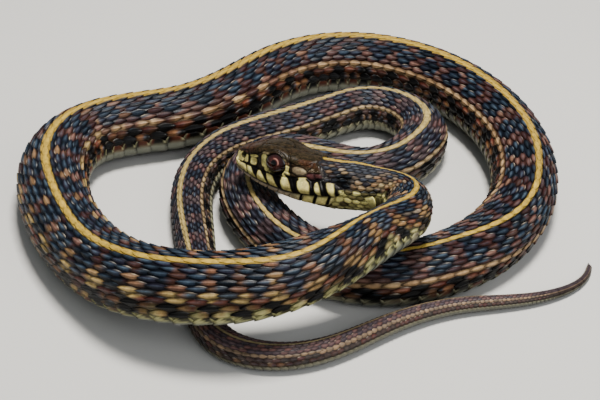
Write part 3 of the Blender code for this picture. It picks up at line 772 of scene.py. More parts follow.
def border_points():
    """Return closely set surface points along every border of the head's plates, both sides."""
    lines = [list(line) for line in PLATE_BORDERS]
    lines += [[bottom, top] for bottom, top in LIP_BORDERS]
    lines += [[(upper, 1.0), (lower, 1.27)] for upper, lower in JAW_BORDERS]
    lines = [np.array(line) for line in lines]
    ring = np.radians(np.linspace(-130.0, 130.0, 70))
    lines.append(np.stack([EYE_AT + 1.2 * EYE_LENGTH * np.cos(ring),
                           EYE_LEVEL + 1.2 * EYE_RADIUS / EYE_ARC * np.sin(ring)], axis=1))
    spots = []
    for line in lines:
        for near, far in zip(line[:-1], line[1:]):
            count = max(2, int(math.hypot(far[0] - near[0], 10.0 * (far[1] - near[1])) / 0.08))
            share = np.linspace(0.0, 1.0, count)[:, None]
            spots.append(near + (far - near) * share)
    spots = np.concatenate(spots)
    turn = turn_of(spots[:, 1])
    return np.concatenate([body.place(spots[:, 0], turn), body.place(spots[:, 0], -turn)])


def turn_of(t):
    """Return the turn of a place between crown 0, lips 1 and chin 2."""
    return np.where(t <= 1.0, t * LIP_TURN, LIP_TURN + (t - 1.0) * (180.0 - LIP_TURN))


def level_of(turn):
    """Return the place between crown 0, lips 1 and chin 2 of a turn."""
    out = np.abs(turn)
    return np.where(out <= LIP_TURN, out / LIP_TURN, 1.0 + (out - LIP_TURN) / (180.0 - LIP_TURN))


def border_distance(points):
    """Return how far each point lies from the nearest border of a plate, in millimetres."""
    marks = border_points()
    tree = kdtree.KDTree(len(marks))
    for i, mark in enumerate(marks):
        tree.insert(mark, i)
    tree.balance()
    return np.array([tree.find(point)[2] for point in points])


def blob(s, t, at, level, reach, spread, power=2.0):
    """Return 1 inside a rounded patch on the side of the head and 0 outside."""
    far = (np.abs(s - at) / reach) ** power + (np.abs(t - level) / spread) ** power
    return fall(far, 0.7, 1.2)


# Half widths of the dark bars between the lip plates, at five places from the top to the lip
BAR_SHARES = (0.0, 0.15, 0.4, 0.75, 1.0)
BAR_WIDTHS = [(0.5, 0.3, 0.2, 0.14, 0.2), (1.5, 1.1, 0.8, 0.3, 0.2), (1.0, 0.8, 0.55, 0.45, 0.5),
              (1.7, 1.25, 1.0, 0.8, 0.75), (2.1, 1.4, 1.15, 1.15, 1.35), (1.5, 0.9, 0.65, 0.75, 1.2),
              (1.6, 1.15, 0.95, 1.0, 1.3), (1.7, 1.3, 1.1, 1.1, 1.3)]
# The upper edge of the lips' yellow
LIP_TOP = [(1.0, 0.79), (7.0, 0.795), (9.7, 0.80), (12.9, 0.80), (15.3, 0.75), (17.5, 0.73),
           (19.4, 0.68), (21.3, 0.65), (22.9, 0.715), (24.5, 0.68), (26.0, 0.70), (28.9, 0.69),
           (30.5, 0.8)]
JAW_BARS = [(21.0, 0.45), (24.6, 0.5), (27.9, 0.5)]   # place and half width
# Pale patches on the side of the head: place, level, half length, half height. The thin one at 11.9 under
# the eye's front is a painted highlight on the eye's lower rim.
PALE_PATCHES = [(0.8, 0.70, 1.15, 0.33), (2.4, 0.60, 0.85, 0.16), (4.0, 0.63, 0.62, 0.11),
                (6.3, 0.655, 0.9, 0.085), (9.7, 0.585, 0.95, 0.12), (10.6, 0.70, 0.7, 0.07),
                (6.4, 0.535, 1.3, 0.022), (11.9, 0.76, 0.9, 0.02), (15.95, 0.61, 0.62, 0.09),
                (16.05, 0.71, 0.95, 0.08)]


def bar_at(s, t, border, widths):
    """Return 1 on a dark bar along a border between two lip plates."""
    (low_s, low_t), (top_s, top_t) = border
    share = np.clip((t - top_t) / (low_t - top_t), 0.0, 1.0)
    middle = top_s + (low_s - top_s) * (t - top_t) / (low_t - top_t)
    width = np.interp(share, BAR_SHARES, widths)
    return fall(np.abs(s - middle) - width, -0.16, 0.14)


def crown_marking(s, t, near, luck):
    """Return the olive brown of the crown, redder on the snout and behind, with the pale brow."""
    warm = np.clip(fall(s, 3.0, 9.0) + 0.3 * wander(s * 0.7 + 9.0 * t, 2.0), 0, 1)
    colour = mix(OLIVE, OLIVE_RED, warm)
    streak = np.maximum(blob(s, t, 20.6, 0.37, 2.4, 0.07), 0.6 * blob(s, t, 23.5, 0.45, 1.6, 0.06))
    colour = mix(colour, RUST_PALE, 0.5 * streak * (0.5 + 0.5 * luck))
    mottle = wander(s * 2.1 + 23.0 * t, 5.0) * wander(31.0 * t - s * 1.3, 8.0)
    colour = colour * (0.8 + 0.8 * mottle + 0.3 * (luck - 0.5))[..., None]
    colour = mix(colour, TAN, 0.3 * smooth(luck, 0.8, 0.96))
    colour = mix(colour, BLACK, 0.6 * fall(near, 0.05, 0.2))
    pale = fall(np.abs(t - 0.447 - 0.003 * (s - 12.0)), 0.008, 0.024)
    pale = pale * smooth(s, 8.6, 9.6) * fall(s, 15.0, 16.0)
    return mix(colour, CREAM, 0.7 * pale)


def temple_marking(s, t, near, luck):
    """Return the tan of the temple and cheek with its pale temporal plate, a painted highlight on its
    upper edge, flecks and dark borders.
    """
    return layered(
        mix(OLIVE * 1.3, RUST_PALE, 0.3 * smooth(luck, 0.3, 0.9)),
        (TEMPLE_TAN * 1.7, blob(s, t, 19.3, 0.565, 2.0, 0.085)),
        # painted highlight along the upper edge of the first temporal plate
        (CREAM, 0.9 * blob(s, t, 19.9, 0.53, 1.2, 0.024)),
        (FLECK, 0.7 * smooth(luck, 0.84, 0.93) * smooth(s, 20.5, 22.0)),
        (BLACK, 0.7 * fall(near, 0.08, 0.3)),
    )


def add_lips(colour, s, t, yellow):
    """Return the colour with the yellow lips, the pale patches above them and the black bars."""
    top = value_at(LIP_TOP, s)
    lip = smooth(t, top - 0.005, top + 0.015) * fall(t, 0.975, 0.99) * fall(s, 29.2, 29.8)
    colour = mix(colour, yellow * 1.12, lip)
    # one thin patch under the eye is a painted highlight on its lower rim
    for patch in PALE_PATCHES:
        colour = mix(colour, yellow * 1.32, blob(s, t, *patch, power=3.0))
    colour = mix(colour, TAN, 0.8 * blob(s, t, 15.9, 0.5, 0.5, 0.03, power=3.0))
    for border, widths in zip(LIP_BORDERS, BAR_WIDTHS):
        reach = smooth(t, border[1][1] - 0.07, border[1][1] - 0.02) * fall(t, 0.985, 1.02)
        colour = mix(colour, BLACK, bar_at(s, t, border, widths) * reach)
    behind_eye = fall(np.abs(s - 16.75), 0.12, 0.3) * smooth(t, 0.42, 0.46) * fall(t, 0.62, 0.7)
    return mix(colour, BLACK, 0.85 * behind_eye)


def jaw_marking(s, t, near, yellow):
    """Return the colour of the lower jaw and chin, with the bars near the mouth's corner."""
    jaw = mix(mix(JAW_PINK, LIP_YELLOW, smooth(s, 15.0, 24.0) * 0.6), THROAT, smooth(t, 1.25, 1.5))
    rear_yellow = np.maximum(blob(s, t, 22.9, 1.12, 1.6, 0.12), blob(s, t, 26.3, 1.1, 1.3, 0.12))
    jaw = mix(jaw, yellow, rear_yellow)
    jaw = jaw * (1.0 + 0.6 * smooth(t, 1.02, 1.06) * fall(t, 1.22, 1.4))[..., None]
    for at, width in JAW_BARS:
        slant = np.abs(s - at + 2.5 * (t - 1.0))
        jaw = mix(jaw, BLACK, fall(slant, 0.6 * width, width) * fall(t, 1.24, 1.28))
    return mix(jaw, BLACK, 0.65 * fall(near, 0.05, 0.2) * (1.0 - 0.6 * smooth(t, 1.3, 1.5)))


def head_marking(s, turn, near, luck):
    """Return the colour of the head at a place, near being the distance to a plate's border."""
    t = level_of(turn)
    yellow = mix(LIP_YELLOW, YELLOW, np.clip(0.22 + 0.3 * wander(s * 1.3, 4.0) + 0.15 * luck, 0, 1))
    side = mix(mix(OLIVE, TEMPLE_TAN, 0.2), BLACK, 0.55 + 0.3 * fall(near, 0.1, 0.35))
    red = mix(TEMPLE_RED, BRICK, luck) * (1.0 - 0.6 * fall(near, 0.06, 0.3))[..., None]
    colour = layered(
        crown_marking(s, t, near, luck),
        (side, smooth(t, 0.45, 0.5) * fall(s, 16.0, 17.2)),
        (temple_marking(s, t, near, luck), smooth(s, 16.7, 17.2) * smooth(t, 0.44, 0.48)),
        (red, blob(s, t, 23.2, 0.605, 2.0, 0.075, power=3.0)),
    )
    mouth = fall(np.abs(t - 1.0), 0.008, 0.02) * fall(s, MOUTH_CORNER - 0.5, MOUTH_CORNER + 0.5)
    return layered(
        add_lips(colour, s, t, yellow),
        (jaw_marking(s, t, near, yellow), smooth(t, 1.0, 1.02)),
        (BLACK, 0.9 * mouth),
        (BLACK, 0.92 * fall(eye_reach(s, t), 0.98, 1.07)),
        (BLACK, 0.95 * fall(nostril_reach(s, t), 0.72, 0.95)),
    )


def eye_reach(s, t):
    """Return how far a place lies from the middle of the eye, 1 being the eye's edge."""
    return np.hypot((s - EYE_AT) / EYE_LENGTH, (t - EYE_LEVEL) * EYE_ARC / (0.92 * EYE_RADIUS))


def nostril_reach(s, t):
    """Return about how far a place lies from the middle of the nostril, in millimetres."""
    return np.hypot(s - NOSTRIL[0], (t - NOSTRIL[1]) * 8.0)


def coat_colour(s, turn, luck):
    """Return the colour of the whole animal's coat at a place."""
    count = count_at(s)
    side = np.sign(turn)
    dorsal = body_marking(count, row_at(turn), s, side, luck)
    belly = belly_marking(count, turn, s, side, luck)
    colour = mix(dorsal, belly, smooth(np.abs(turn), SCUTE_EDGE_TURN - 1.5, SCUTE_EDGE_TURN))
    return neck_marking(colour, s, turn, luck)


# Meshes
def strip_uv(s, turn):
    """Return the place on an unwrap of the skin: the head in one corner, the body in strips."""
    across = (np.asarray(turn) + 180.0) / 360.0
    head_u = 0.005 + 0.35 * s / HEAD_SKIN_END
    head_v = 0.005 + 0.39 * across
    starts = np.array(STRIP_STARTS)
    number = np.clip(np.searchsorted(starts, s, side="right") - 1, 0, len(starts) - 1)
    u = np.array(STRIP_LEFTS)[number] + (s - starts[number]) / STRIP_LENGTH * 0.985
    v = np.array(STRIP_BASES)[number] + 0.18 * across
    on_head = s < HEAD_SKIN_END
    return np.stack([np.where(on_head, head_u, u), np.where(on_head, head_v, v)], axis=-1)


def add_marking(mesh, colours):
    """Store the colours of a mesh's points for its finish."""
    tint = mesh.color_attributes.new("marking", "FLOAT_COLOR", "POINT")
    full = np.concatenate([colours, np.ones((len(colours), 1))], axis=1)
    tint.data.foreach_set("color", full.astype(np.float32).ravel())


def write_mesh(name, points, corners, sizes, colours, corner_uv):
    """Make a mesh object from points in millimetres, faces, colours and the bake map."""
    mesh = bpy.data.meshes.new(name)
    mesh.vertices.add(len(points))
    mesh.vertices.foreach_set("co", (points * MM).astype(np.float32).ravel())
    mesh.loops.add(len(corners))
    mesh.loops.foreach_set("vertex_index", corners.astype(np.int32))
    mesh.polygons.add(len(sizes))
    starts = np.concatenate([[0], np.cumsum(sizes)[:-1]])
    mesh.polygons.foreach_set("loop_start", starts.astype(np.int32))
    mesh.update(calc_edges=True)
    mesh.validate()
    mesh.polygons.foreach_set("use_smooth", np.full(len(mesh.polygons), True))
    layer = mesh.uv_layers.new(name="OFBake")
    layer.data.foreach_set("uv", corner_uv.astype(np.float32).ravel())
    add_marking(mesh, colours)
    mesh.update()
    thing = bpy.data.objects.new(name, mesh)
    bpy.context.scene.collection.objects.link(thing)
    return thing


def skin_grid(columns, stations):
    """Return the distances and turns of a grid of skin points."""
    turns = -180.0 + 360.0 * np.arange(columns) / columns
    return np.meshgrid(stations, turns, indexing="ij")


def coat_share(s, turn):
    """Return 1 where the skin lies under scales and 0 where it forms the head's plates itself."""
    return smooth(s - coat_front(turn), -0.2, 0.35)


def head_relief(s, turn, near):
    """Return how far the head's skin stands out or in, with its plates, brow, lips and pits."""
    t = level_of(turn)
    big = fall(t, 0.45, 0.6)
    pillow = (0.15 - 0.06 * big) * (1.0 - np.exp(-near / 0.5)) - 0.19 * hump(near, 0.0, 0.13)
    brow = 0.34 * hump(s, EYE_AT, 2.9) * hump(t, 0.43, 0.04)
    hollow = -0.3 * hump(s, 7.4, 2.0) * hump(t, 0.66, 0.11)
    lip = 0.14 * hump(t, 0.9, 0.06) * smooth(s, 2.0, 6.0)
    temple = 0.22 * hump(s, 19.4, 2.4) * hump(t, 0.57, 0.1)
    fade = fall(s, MOUTH_CORNER - 1.0, MOUTH_CORNER + 0.6)
    mouth = -0.42 * hump(t, 1.0, 0.014) * fade * smooth(s, 0.2, 1.2)
    eye = eye_reach(s, t)
    socket = -0.6 * fall(eye, 0.9, 1.0) - 1.1 * fall(eye, 0.5, 0.92)
    socket = socket + 0.14 * hump(eye, 1.1, 0.06)
    hole = nostril_reach(s, t)
    pit = -0.6 * fall(hole, 0.3, 0.7) + 0.05 * hump(hole, 0.95, 0.15)
    away = smooth(eye, 0.98, 1.12)
    head = pillow * away + brow + hollow + lip + temple + mouth + socket + pit
    coat = coat_share(s, turn)
    return head * (1.0 - coat) * smooth(s, 0.1, 0.8) - SKIN_DEPTH * coat


def skin_part(columns, stations, rng):
    """Return the distances, turns, points and colours of the skin's head or of its body."""
    s, turn = skin_grid(columns, stations)
    point, outward = body.surface(s, turn)
    relief = np.full(s.shape, -SKIN_DEPTH) * (1.0 - smooth(s, *TIP_FADE) * 0.6)
    luck = rng.random(s.shape)
    colour = 0.5 * coat_colour(s, turn, luck * 0.5)
    if columns == HEAD_COLUMNS:
        near = border_distance(point.reshape(-1, 3)).reshape(s.shape)
        relief = head_relief(s, turn, near)
        colour = mix(head_marking(s, turn, near, luck), colour, coat_share(s, turn))
    return s, turn, on_floor(point + outward * relief[..., None]), colour


def make_skin():
    """Build the one skin that runs from the snout over head, neck, trunk and tail."""
    head_stations = np.concatenate([SNOUT_RINGS, np.arange(0.65, HEAD_SKIN_END + 0.01, HEAD_RING_STEP)])
    body_stations = np.arange(HEAD_SKIN_END + 0.6, body.length - 0.5, BODY_RING_STEP)
    rng = np.random.default_rng(SKIN_SEED)
    head = skin_part(HEAD_COLUMNS, head_stations, rng)
    trunk = skin_part(BODY_COLUMNS, body_stations, rng)
    last = body.length - TAIL_TIP_GAP
    tip = on_floor(body.place(np.array([0.0]), np.array([0.0])))
    end = on_floor(body.place(np.array([last]), np.array([0.0])) * [1, 1, 0.6])
    points = np.concatenate([tip, head[2].reshape(-1, 3), trunk[2].reshape(-1, 3), end])
    colours = np.concatenate([head[3][:1, 0], head[3].reshape(-1, 3),
                              trunk[3].reshape(-1, 3), trunk[3][-1:, 0]])
    station = np.concatenate([[0.0], head[0].ravel(), trunk[0].ravel(), [last]])
    turned = np.concatenate([[0.0], head[1].ravel(), trunk[1].ravel(), [0.0]])
    corners, sizes = skin_faces(HEAD_COLUMNS, len(head_stations), BODY_COLUMNS, len(body_stations))
    uv = corner_map(corners, sizes, station, turned)
    return write_mesh("skin", points, corners, sizes, colours, uv)


def skin_faces(fine, head_rows, coarse, body_rows):
    """Return the corners and sizes of the skin's faces, from the snout to the tail."""
    first = 1
    second = 1 + fine * head_rows
    last = second + coarse * body_rows
    faces = []
    j = np.arange(fine)
    k = (j + 1) % fine
    faces.append((3, np.stack([np.zeros(fine, int), first + j, first + k], axis=1)))
    for start, columns, rows in ((first, fine, head_rows), (second, coarse, body_rows)):
        i = np.arange(rows - 1)[:, None] * columns + start
        j = np.arange(columns)[None, :]
        k = (j + 1) % columns
        quads = np.stack([i + j, i + columns + j, i + columns + k, i + k], axis=-1)
        faces.append((4, quads.reshape(-1, 4)))
    ring = second - fine
    j = np.arange(coarse)
    k = (j + 1) % coarse
    near, between, beyond = ring + 2 * j, ring + 2 * j + 1, ring + (2 * j + 2) % fine
    faces.append((3, np.stack([near, second + j, between], axis=1)))
    faces.append((3, np.stack([between, second + j, second + k], axis=1)))
    faces.append((3, np.stack([between, second + k, beyond], axis=1)))
    ring = last - coarse
    faces.append((3, np.stack([ring + j, np.full(coarse, last), ring + k], axis=1)))
    corners = np.concatenate([face.ravel() for _, face in faces])
    sizes = np.concatenate([np.full(len(face), size) for size, face in faces])
    return corners, sizes


def corner_map(corners, sizes, station, turned):
    """Return the bake map at each corner, with faces over a strip's edge kept on one strip."""
    s = station[corners]
    turn = turned[corners]
    face = np.repeat(np.arange(len(sizes)), sizes)
    low = np.full(len(sizes), 999.0)
    high = np.full(len(sizes), -999.0)
    np.minimum.at(low, face, turn)
    np.maximum.at(high, face, turn)
    wrapped = (high - low > 180.0)[face] & (turn < 0.0)
    turn = np.where(wrapped, turn + 360.0, turn)
    first = np.full(len(sizes), 1e9)
    np.minimum.at(first, face, s)
    base = strip_uv(first[face], turn)
    ahead = strip_uv(np.minimum(first + 0.01, body.length)[face], turn)
    slope = (ahead - base) / 0.01
    slope = np.where(np.abs(slope) > 0.05, 0.0, slope)
    return base + slope * (s - first[face])[:, None]


def face_outward():
    """Turn every face of the mesh in edit mode outward and leave edit mode."""
    bpy.ops.mesh.select_all(action="SELECT")
    bpy.ops.mesh.normals_make_consistent(inside=False)
    bpy.ops.object.mode_set(mode="OBJECT")


def slab(columns, rows, capped):
    """Model a flat slab by hand and return its corners, its faces and which corners are low.

    A capped slab has one face underneath, another has as many faces below as above.
    """
    bpy.ops.object.select_all(action="DESELECT")
    bpy.ops.mesh.primitive_grid_add(x_subdivisions=rows, y_subdivisions=columns, size=1.0)
    thing = bpy.context.active_object
    bpy.ops.object.mode_set(mode="EDIT")
    if capped:
        bpy.ops.mesh.select_all(action="DESELECT")
        bpy.ops.mesh.select_mode(type="EDGE")
        bpy.ops.mesh.select_non_manifold()
        bpy.ops.mesh.extrude_region_move(TRANSFORM_OT_translate={"value": (0.0, 0.0, -1.0)})
        bpy.ops.mesh.edge_face_add()
    else:
        bpy.ops.mesh.select_all(action="SELECT")
        bpy.ops.mesh.extrude_region_move(TRANSFORM_OT_translate={"value": (0.0, 0.0, -1.0)})
    face_outward()
    mesh = thing.data
    corners = np.array([vertex.co for vertex in mesh.vertices])
    faces = [list(face.vertices) for face in mesh.polygons]
    bpy.data.objects.remove(thing, do_unlink=True)
    bpy.data.meshes.remove(mesh)
    return corners, faces, corners[:, 2] < -0.5


def model_scale(keel_height):
    """Shape a slab to one leaf-shaped scale with a keel, a raised rear and a low front."""
    corners, faces, low = slab(len(SCALE_COLUMNS) - 1, len(SCALE_ROWS) - 1, True)
    along = corners[:, 0] + 0.5
    across = value_at(SCALE_COLUMNS, corners[:, 1] * 2.0)
    x = -0.05 + 1.15 * np.interp(along, np.linspace(0, 1, len(SCALE_ROWS)), SCALE_ROWS)
    half = value_at(SCALE_OUTLINE, x)
    slope = 0.07 + 0.25 * smooth(x, -0.1, 1.0)
    roof = slope - 0.1 * np.abs(across) - 0.07 * smooth(np.abs(across), 0.8, 1.0)
    crest = keel_height * hump(across, 0.0, 0.14) * smooth(x, 0.02, 0.3)
    lift = np.where(low, -0.1, roof + crest)
    return {"x": x, "y": across * half, "lift": lift, "across": across, "faces": faces}


def join(name, shape, count, turn, lift, colour_of, root_s, root_turn):
    """Lay a copy of a shape at each place of the grids count and turn, joined in one mesh."""
    total = len(count)
    s = np.minimum(distance_at(count), body.length - 0.35)
    around = np.where(turn > 180.0, turn - 360.0, turn)
    point, outward = body.surface(s, around)
    point = on_floor(point + outward * (lift - SKIN_DEPTH)[..., None])
    colours = colour_of(s, around)
    corner_list = np.concatenate([np.array(face) for face in shape["faces"]])
    size_list = np.array([len(face) for face in shape["faces"]])
    corners = (corner_list[None, :] + np.arange(total)[:, None] * len(shape["x"])).ravel()
    patch = np.stack([(shape["x"] - 0.5) * PATCH, shape["across"] * 0.5 * PATCH], axis=1)
    uv = (strip_uv(root_s, root_turn)[:, None, :] + patch[None, :, :]).reshape(-1, 2)[corners]
    return write_mesh(name, point.reshape(-1, 3), corners, np.tile(size_list, total),
                      colours.reshape(-1, 3), uv)


def scale_colours(shape, root_s, root_turn, luck):
    """Return a function that colours scales: mostly one colour each, with pale flecks at the rim and a
    painted highlight on the keel.
    """
    def colour_of(s, turn):
        """Return the colours at a grid of places, one row of them for each scale."""
        pull = np.where(np.abs(root_turn) < 1.6 * ROW_UNIT, 1.0, 0.4)[:, None]
        along = root_s[:, None] * 0.6 + s * 0.4
        around = root_turn[:, None] * (1.0 - pull) + turn * pull
        chance = np.broadcast_to(luck[:, None], s.shape)
        colour = coat_colour(along, around, chance)
        out = np.abs(shape["across"])
        x = shape["x"]
        gold_edge = value_at(STRIPE_HALF, along)
        gold = fall(row_at(around) - gold_edge, -0.05, 0.12)
        light = smooth(colour.sum(axis=-1), 0.06, 0.2)
        blue = smooth(colour.sum(axis=-1), 0.009, 0.022)
        tail = smooth(root_s, *TAIL_FADE)[:, None]
        # the colour fills an oval inside a dark margin
        core = fall(out, 0.4, 0.88) * smooth(x, -0.02, 0.2) * fall(x, 0.76, 1.03)
        margin = blend(0.34 - 0.12 * light + 0.4 * tail, 0.93, gold)
        inner = 1.2 - 0.2 * gold
        colour = colour * (margin + (inner - margin) * core[None, :])[..., None]
        # pale flecks on one rim of some scales, partly pale skin between scales and partly painted glints
        glint_tone = mix(GLINT_BLUE, GLINT_TAN, light)
        flecked = smooth(reshuffle(luck, 29.3), 0.5, 0.6)[:, None] * (1.0 - gold) * (0.3 + 0.7 * blue)
        upper = shape["across"] * np.sign(root_turn + 0.01)[:, None] < -0.4
        place = smooth(out, 0.5, 0.8) * smooth(x, 0.02, 0.12) * fall(x, 0.3, 0.55)
        colour = mix(colour, mix(glint_tone, FLECK, chance), 0.8 * flecked * upper * place[None, :])
        # painted highlight: a pale glint along each scale's keel, strongest on dark scales
        crest = hump(out, 0.0, 0.3) * smooth(x, 0.15, 0.4) * (1.0 - 0.5 * smooth(x, 0.6, 0.95))
        share = (0.015 + 0.25 * blue - 0.1 * light) * (1.0 - gold)
        share = share * (0.5 + 0.9 * chance) * (1.0 - 0.6 * tail)
        colour = mix(colour, glint_tone, share * crest[None, :])
        return colour * blend(0.62 + 0.56 * chance, 0.9 + 0.18 * chance, gold)[..., None]

    return colour_of


def coat_front(turn):
    """Return where the scales begin behind the head's plates at a turn."""
    return value_at(COAT_FRONT, level_of(turn))


def row_centres(widths):
    """Return the middles and widths of scale rows that share the back and sides."""
    halves = np.array(widths)
    halves[0] *= 0.5
    unit = SCUTE_EDGE_TURN / halves.sum()
    edges = np.cumsum(halves) * unit
    return np.concatenate([[0.0], (edges[:-1] + edges[1:]) / 2]), np.array(widths) * unit


def row_roots(row, first, end, turn, wide):
    """Return the place, turn and width of one row's scales, every other row half a scale on."""
    offset = 0.5 * (row % 2)
    counts = np.arange(math.ceil(float(count_at(first)) - offset),
                       math.ceil(float(count_at(end)) - offset)) + offset
    return np.stack([counts, np.full(len(counts), turn), np.full(len(counts), wide)], axis=1)


def scale_roots():
    """Return the place, turn and width of every scale of neck, trunk and tail."""
    stretches = [
        (0.0, FEWER_ROWS_AT, ROW_WIDTHS),
        (FEWER_ROWS_AT, VENT, (1.0,) * 7 + (1.2, 1.4)),
        (VENT, THIN_TAIL_AT, (1.0,) * 5 + (1.15, 1.3)),
        (THIN_TAIL_AT, body.length - 2.0, (1.0, 1.0, 1.0, 1.1, 1.2)),
    ]
    roots = []
    for begin, end, widths in stretches:
        for row, (centre, wide) in enumerate(zip(*row_centres(widths))):
            first = begin if begin else coat_front(centre)
            for side in ((1,) if row == 0 else (1, -1)):
                roots.append(row_roots(row, first, end, side * centre + 0.001, wide))
    return np.concatenate(roots)


def throat_roots():
    """Return the place, turn and width of the smooth scales of the throat."""
    return np.concatenate([
        row_roots(row, coat_front(centre), THROAT_END, side * centre, THROAT_SCALE_TURN)
        for row, centre in enumerate(THROAT_ROWS) for side in (1, -1)
    ])


def lay_scales(name, shape, roots, luck):
    """Lay one joined piece of scales at the roots given."""
    count, turn, wide = roots.T
    root_s = distance_at(count)
    height = np.clip(np.interp(root_s, COUNT_TABLE, SCALE_LENGTH) / FULL_SCALE, 0.3, 1.0)
    height = height * np.clip(1.3 * body.stretch(distance_at(count + 0.5), turn), 0.4, 1.0)
    on_stripe = (np.abs(turn) < 0.3 * ROW_UNIT)[:, None] & (shape["lift"] > 0.0)[None, :]
    lift = np.broadcast_to(shape["lift"], on_stripe.shape)
    lift = np.where(on_stripe, 0.12 + 0.4 * lift, lift) * height[:, None]
    counts = count[:, None] + shape["x"][None, :]
    turns = turn[:, None] + shape["y"][None, :] * wide[:, None]
    turns = np.clip(turns, -179.6, 179.6)
    colour_of = scale_colours(shape, distance_at(count + 0.5), turn, luck)
    return join(name, shape, counts, turns, lift, colour_of, root_s, turn)


def make_scales():
    """Lay the keeled scales of neck, trunk and tail in a few pieces, and the throat's scales."""
    rng = np.random.default_rng(SCALE_SEED)
    shape = model_scale(KEEL_HEIGHT)
    roots = scale_roots()
    roots[:, 0] += rng.normal(0.0, UNEVEN_ALONG, len(roots))
    roots[:, 1] += rng.normal(0.0, UNEVEN_AROUND, len(roots))
    roots = roots[np.argsort(roots[:, 0], kind="stable")]
    luck = rng.random(len(roots))
    root_s = distance_at(roots[:, 0])
    roomy = body.stretch(distance_at(roots[:, 0] + 0.5), roots[:, 1]) > LEAST_ROOM
    roots, luck, root_s = roots[roomy], luck[roomy], root_s[roomy]
    pieces = []
    for number, (low, high) in enumerate(zip(CUTS, CUTS[1:])):
        pick = (root_s >= low) & (root_s < high)
        pieces.append(lay_scales(f"scales_{number + 1}", shape, roots[pick], luck[pick]))
    roots = throat_roots()
    pieces.append(lay_scales("throat_scales", model_scale(0.0), roots, rng.random(len(roots))))
    return pieces


def model_scute(columns):
    """Shape a slab to one wide belly scute with rounded ends and a raised rear."""
    corners, faces, low = slab(columns, 5, False)
    across = corners[:, 1] * 2.0
    across = np.sign(across) * np.abs(across) ** 0.8
    out = np.abs(across)
    x = -0.05 + 1.13 * (corners[:, 0] + 0.5)
    end = np.sqrt(np.clip((out - 0.84) / 0.16, 0.0, 1.0))
    x = x + (0.42 - x) * 0.6 * end ** 3 - 0.12 * smooth(out, 0.6, 1.0)
    lift = 0.06 + 0.27 * smooth(x, 0.0, 1.0) - 0.09 * smooth(out, 0.93, 1.0)
    lift = np.where(low, -0.12, lift)
    return {"x": x, "y": across * 0.5, "lift": lift, "across": across, "faces": faces}


def lay_scutes(name, columns, counts, turns, span, rng):
    """Lay one joined piece of belly or tail scutes, modelled with that many columns."""
    shape = model_scute(columns)
    luck = rng.random(len(counts))

    def colour_of(s, turn):
        """Return the colours at a grid of places, one row of them for each scute."""
        colour = coat_colour(s, turn, np.broadcast_to(luck[:, None], s.shape) * 0.5)
        return colour * (1.0 - 0.3 * smooth(shape["x"], 0.95, 1.05))[None, :, None]

    height = np.clip(body.width(distance_at(counts)) / 6.0, 0.3, 1.0)
    places = turns[:, None] + shape["y"][None, :] * span
    return join(name, shape, counts[:, None] + shape["x"][None, :], places,
                shape["lift"][None, :] * height[:, None], colour_of, distance_at(counts), turns - 180.0)


def make_scutes():
    """Lay the wide scutes under the trunk and the paired ones under the tail."""
    rng = np.random.default_rng(SCUTE_SEED)
    first = math.floor(float(count_at(THROAT_END)))
    last = math.ceil(float(count_at(VENT)))
    counts = np.arange(first, last) + 0.5
    belly = lay_scutes("belly_scutes", BELLY_SCUTE_COLUMNS, counts, np.full(len(counts), 180.0),
                       360.0 - 2.0 * SCUTE_EDGE_TURN + 5.0, rng)
    single = np.arange(last, math.floor(float(count_at(body.length - 2.5))))
    counts = np.concatenate([single, single + 0.5])
    centre = (SCUTE_EDGE_TURN + 180.0) / 2.0
    turns = np.concatenate([np.full(len(single), centre), np.full(len(single), 360.0 - centre)])
    span = 180.0 - SCUTE_EDGE_TURN + 2.0
    return [belly, lay_scutes("tail_scutes", TAIL_SCUTE_COLUMNS, counts, turns, span, rng)]


def eye_colours(local):
    """Return the colours of the eye's points, from the pupil over the iris to its dark back."""
    right, up, out = local.T
    far = np.hypot(right + 0.1, up + 0.1)
    ray = np.arctan2(up, right)
    lit = 0.05 + 0.95 * smooth(np.cos(ray - 0.75), 0.1, 0.8)
    ring = fall(np.abs(np.hypot(right - 0.02, up + 0.02) - 1.0), 0.06, 0.2)
    return layered(
        mix(IRIS_DARK, IRIS_WARM, 0.5 + 0.5 * wander(ray * 9.0, 3.0)),
        (IRIS_RIM, smooth(far, 1.3, 1.8)),
        (IRIS_LIT, ring * lit * 0.85),
        (EYE_EDGE, smooth(far, 1.95, 2.45)),
        (PUPIL, fall(far, 0.68, 0.78)),
        (EYE_BACK, out < 0.0),
    )


def make_eye(name, side):
    """Model one eye: a lens-shaped ball with its pupil, iris and dark rim."""
    s = np.array([EYE_AT])
    place, rightward, dorsal, tailward = [
        body.along(table, s)[0] for table in (body.places, body.rightward, body.dorsal, body.tailward)
    ]
    tilt = math.radians(EYE_TILT)
    outward = rightward * (side * math.cos(tilt)) + dorsal * math.sin(tilt)
    upward = dorsal * math.cos(tilt) - rightward * (side * math.sin(tilt))
    centre = place + rightward * (side * EYE_OUT) + dorsal * EYE_HEIGHT - outward * EYE_THICKNESS
    bpy.ops.object.select_all(action="DESELECT")
    bpy.ops.mesh.primitive_uv_sphere_add(segments=EYE_SEGMENTS, ring_count=EYE_RINGS, radius=1.0)
    thing = bpy.context.active_object
    thing.name = name
    thing.data.name = name
    unit = np.array([vertex.co for vertex in thing.data.vertices])
    local = unit * (EYE_LENGTH * EYE_SPREAD[0], EYE_RADIUS * EYE_SPREAD[1], EYE_THICKNESS)
    bulge = EYE_BULGE * hump(np.hypot(local[:, 0], local[:, 1]), 0.0, 1.3) * (unit[:, 2] > 0)
    points = centre + np.outer(local[:, 0], tailward) + np.outer(local[:, 1], upward)
    points = points + np.outer(local[:, 2] + bulge + EYE_FORWARD, outward)
    thing.data.vertices.foreach_set("co", (points * MM).astype(np.float32).ravel())
    add_marking(thing.data, eye_colours(local))
    thing.data.uv_layers[0].name = "OFBake"
    bpy.ops.object.mode_set(mode="EDIT")
    face_outward()
    bpy.ops.object.shade_smooth()
    return thing


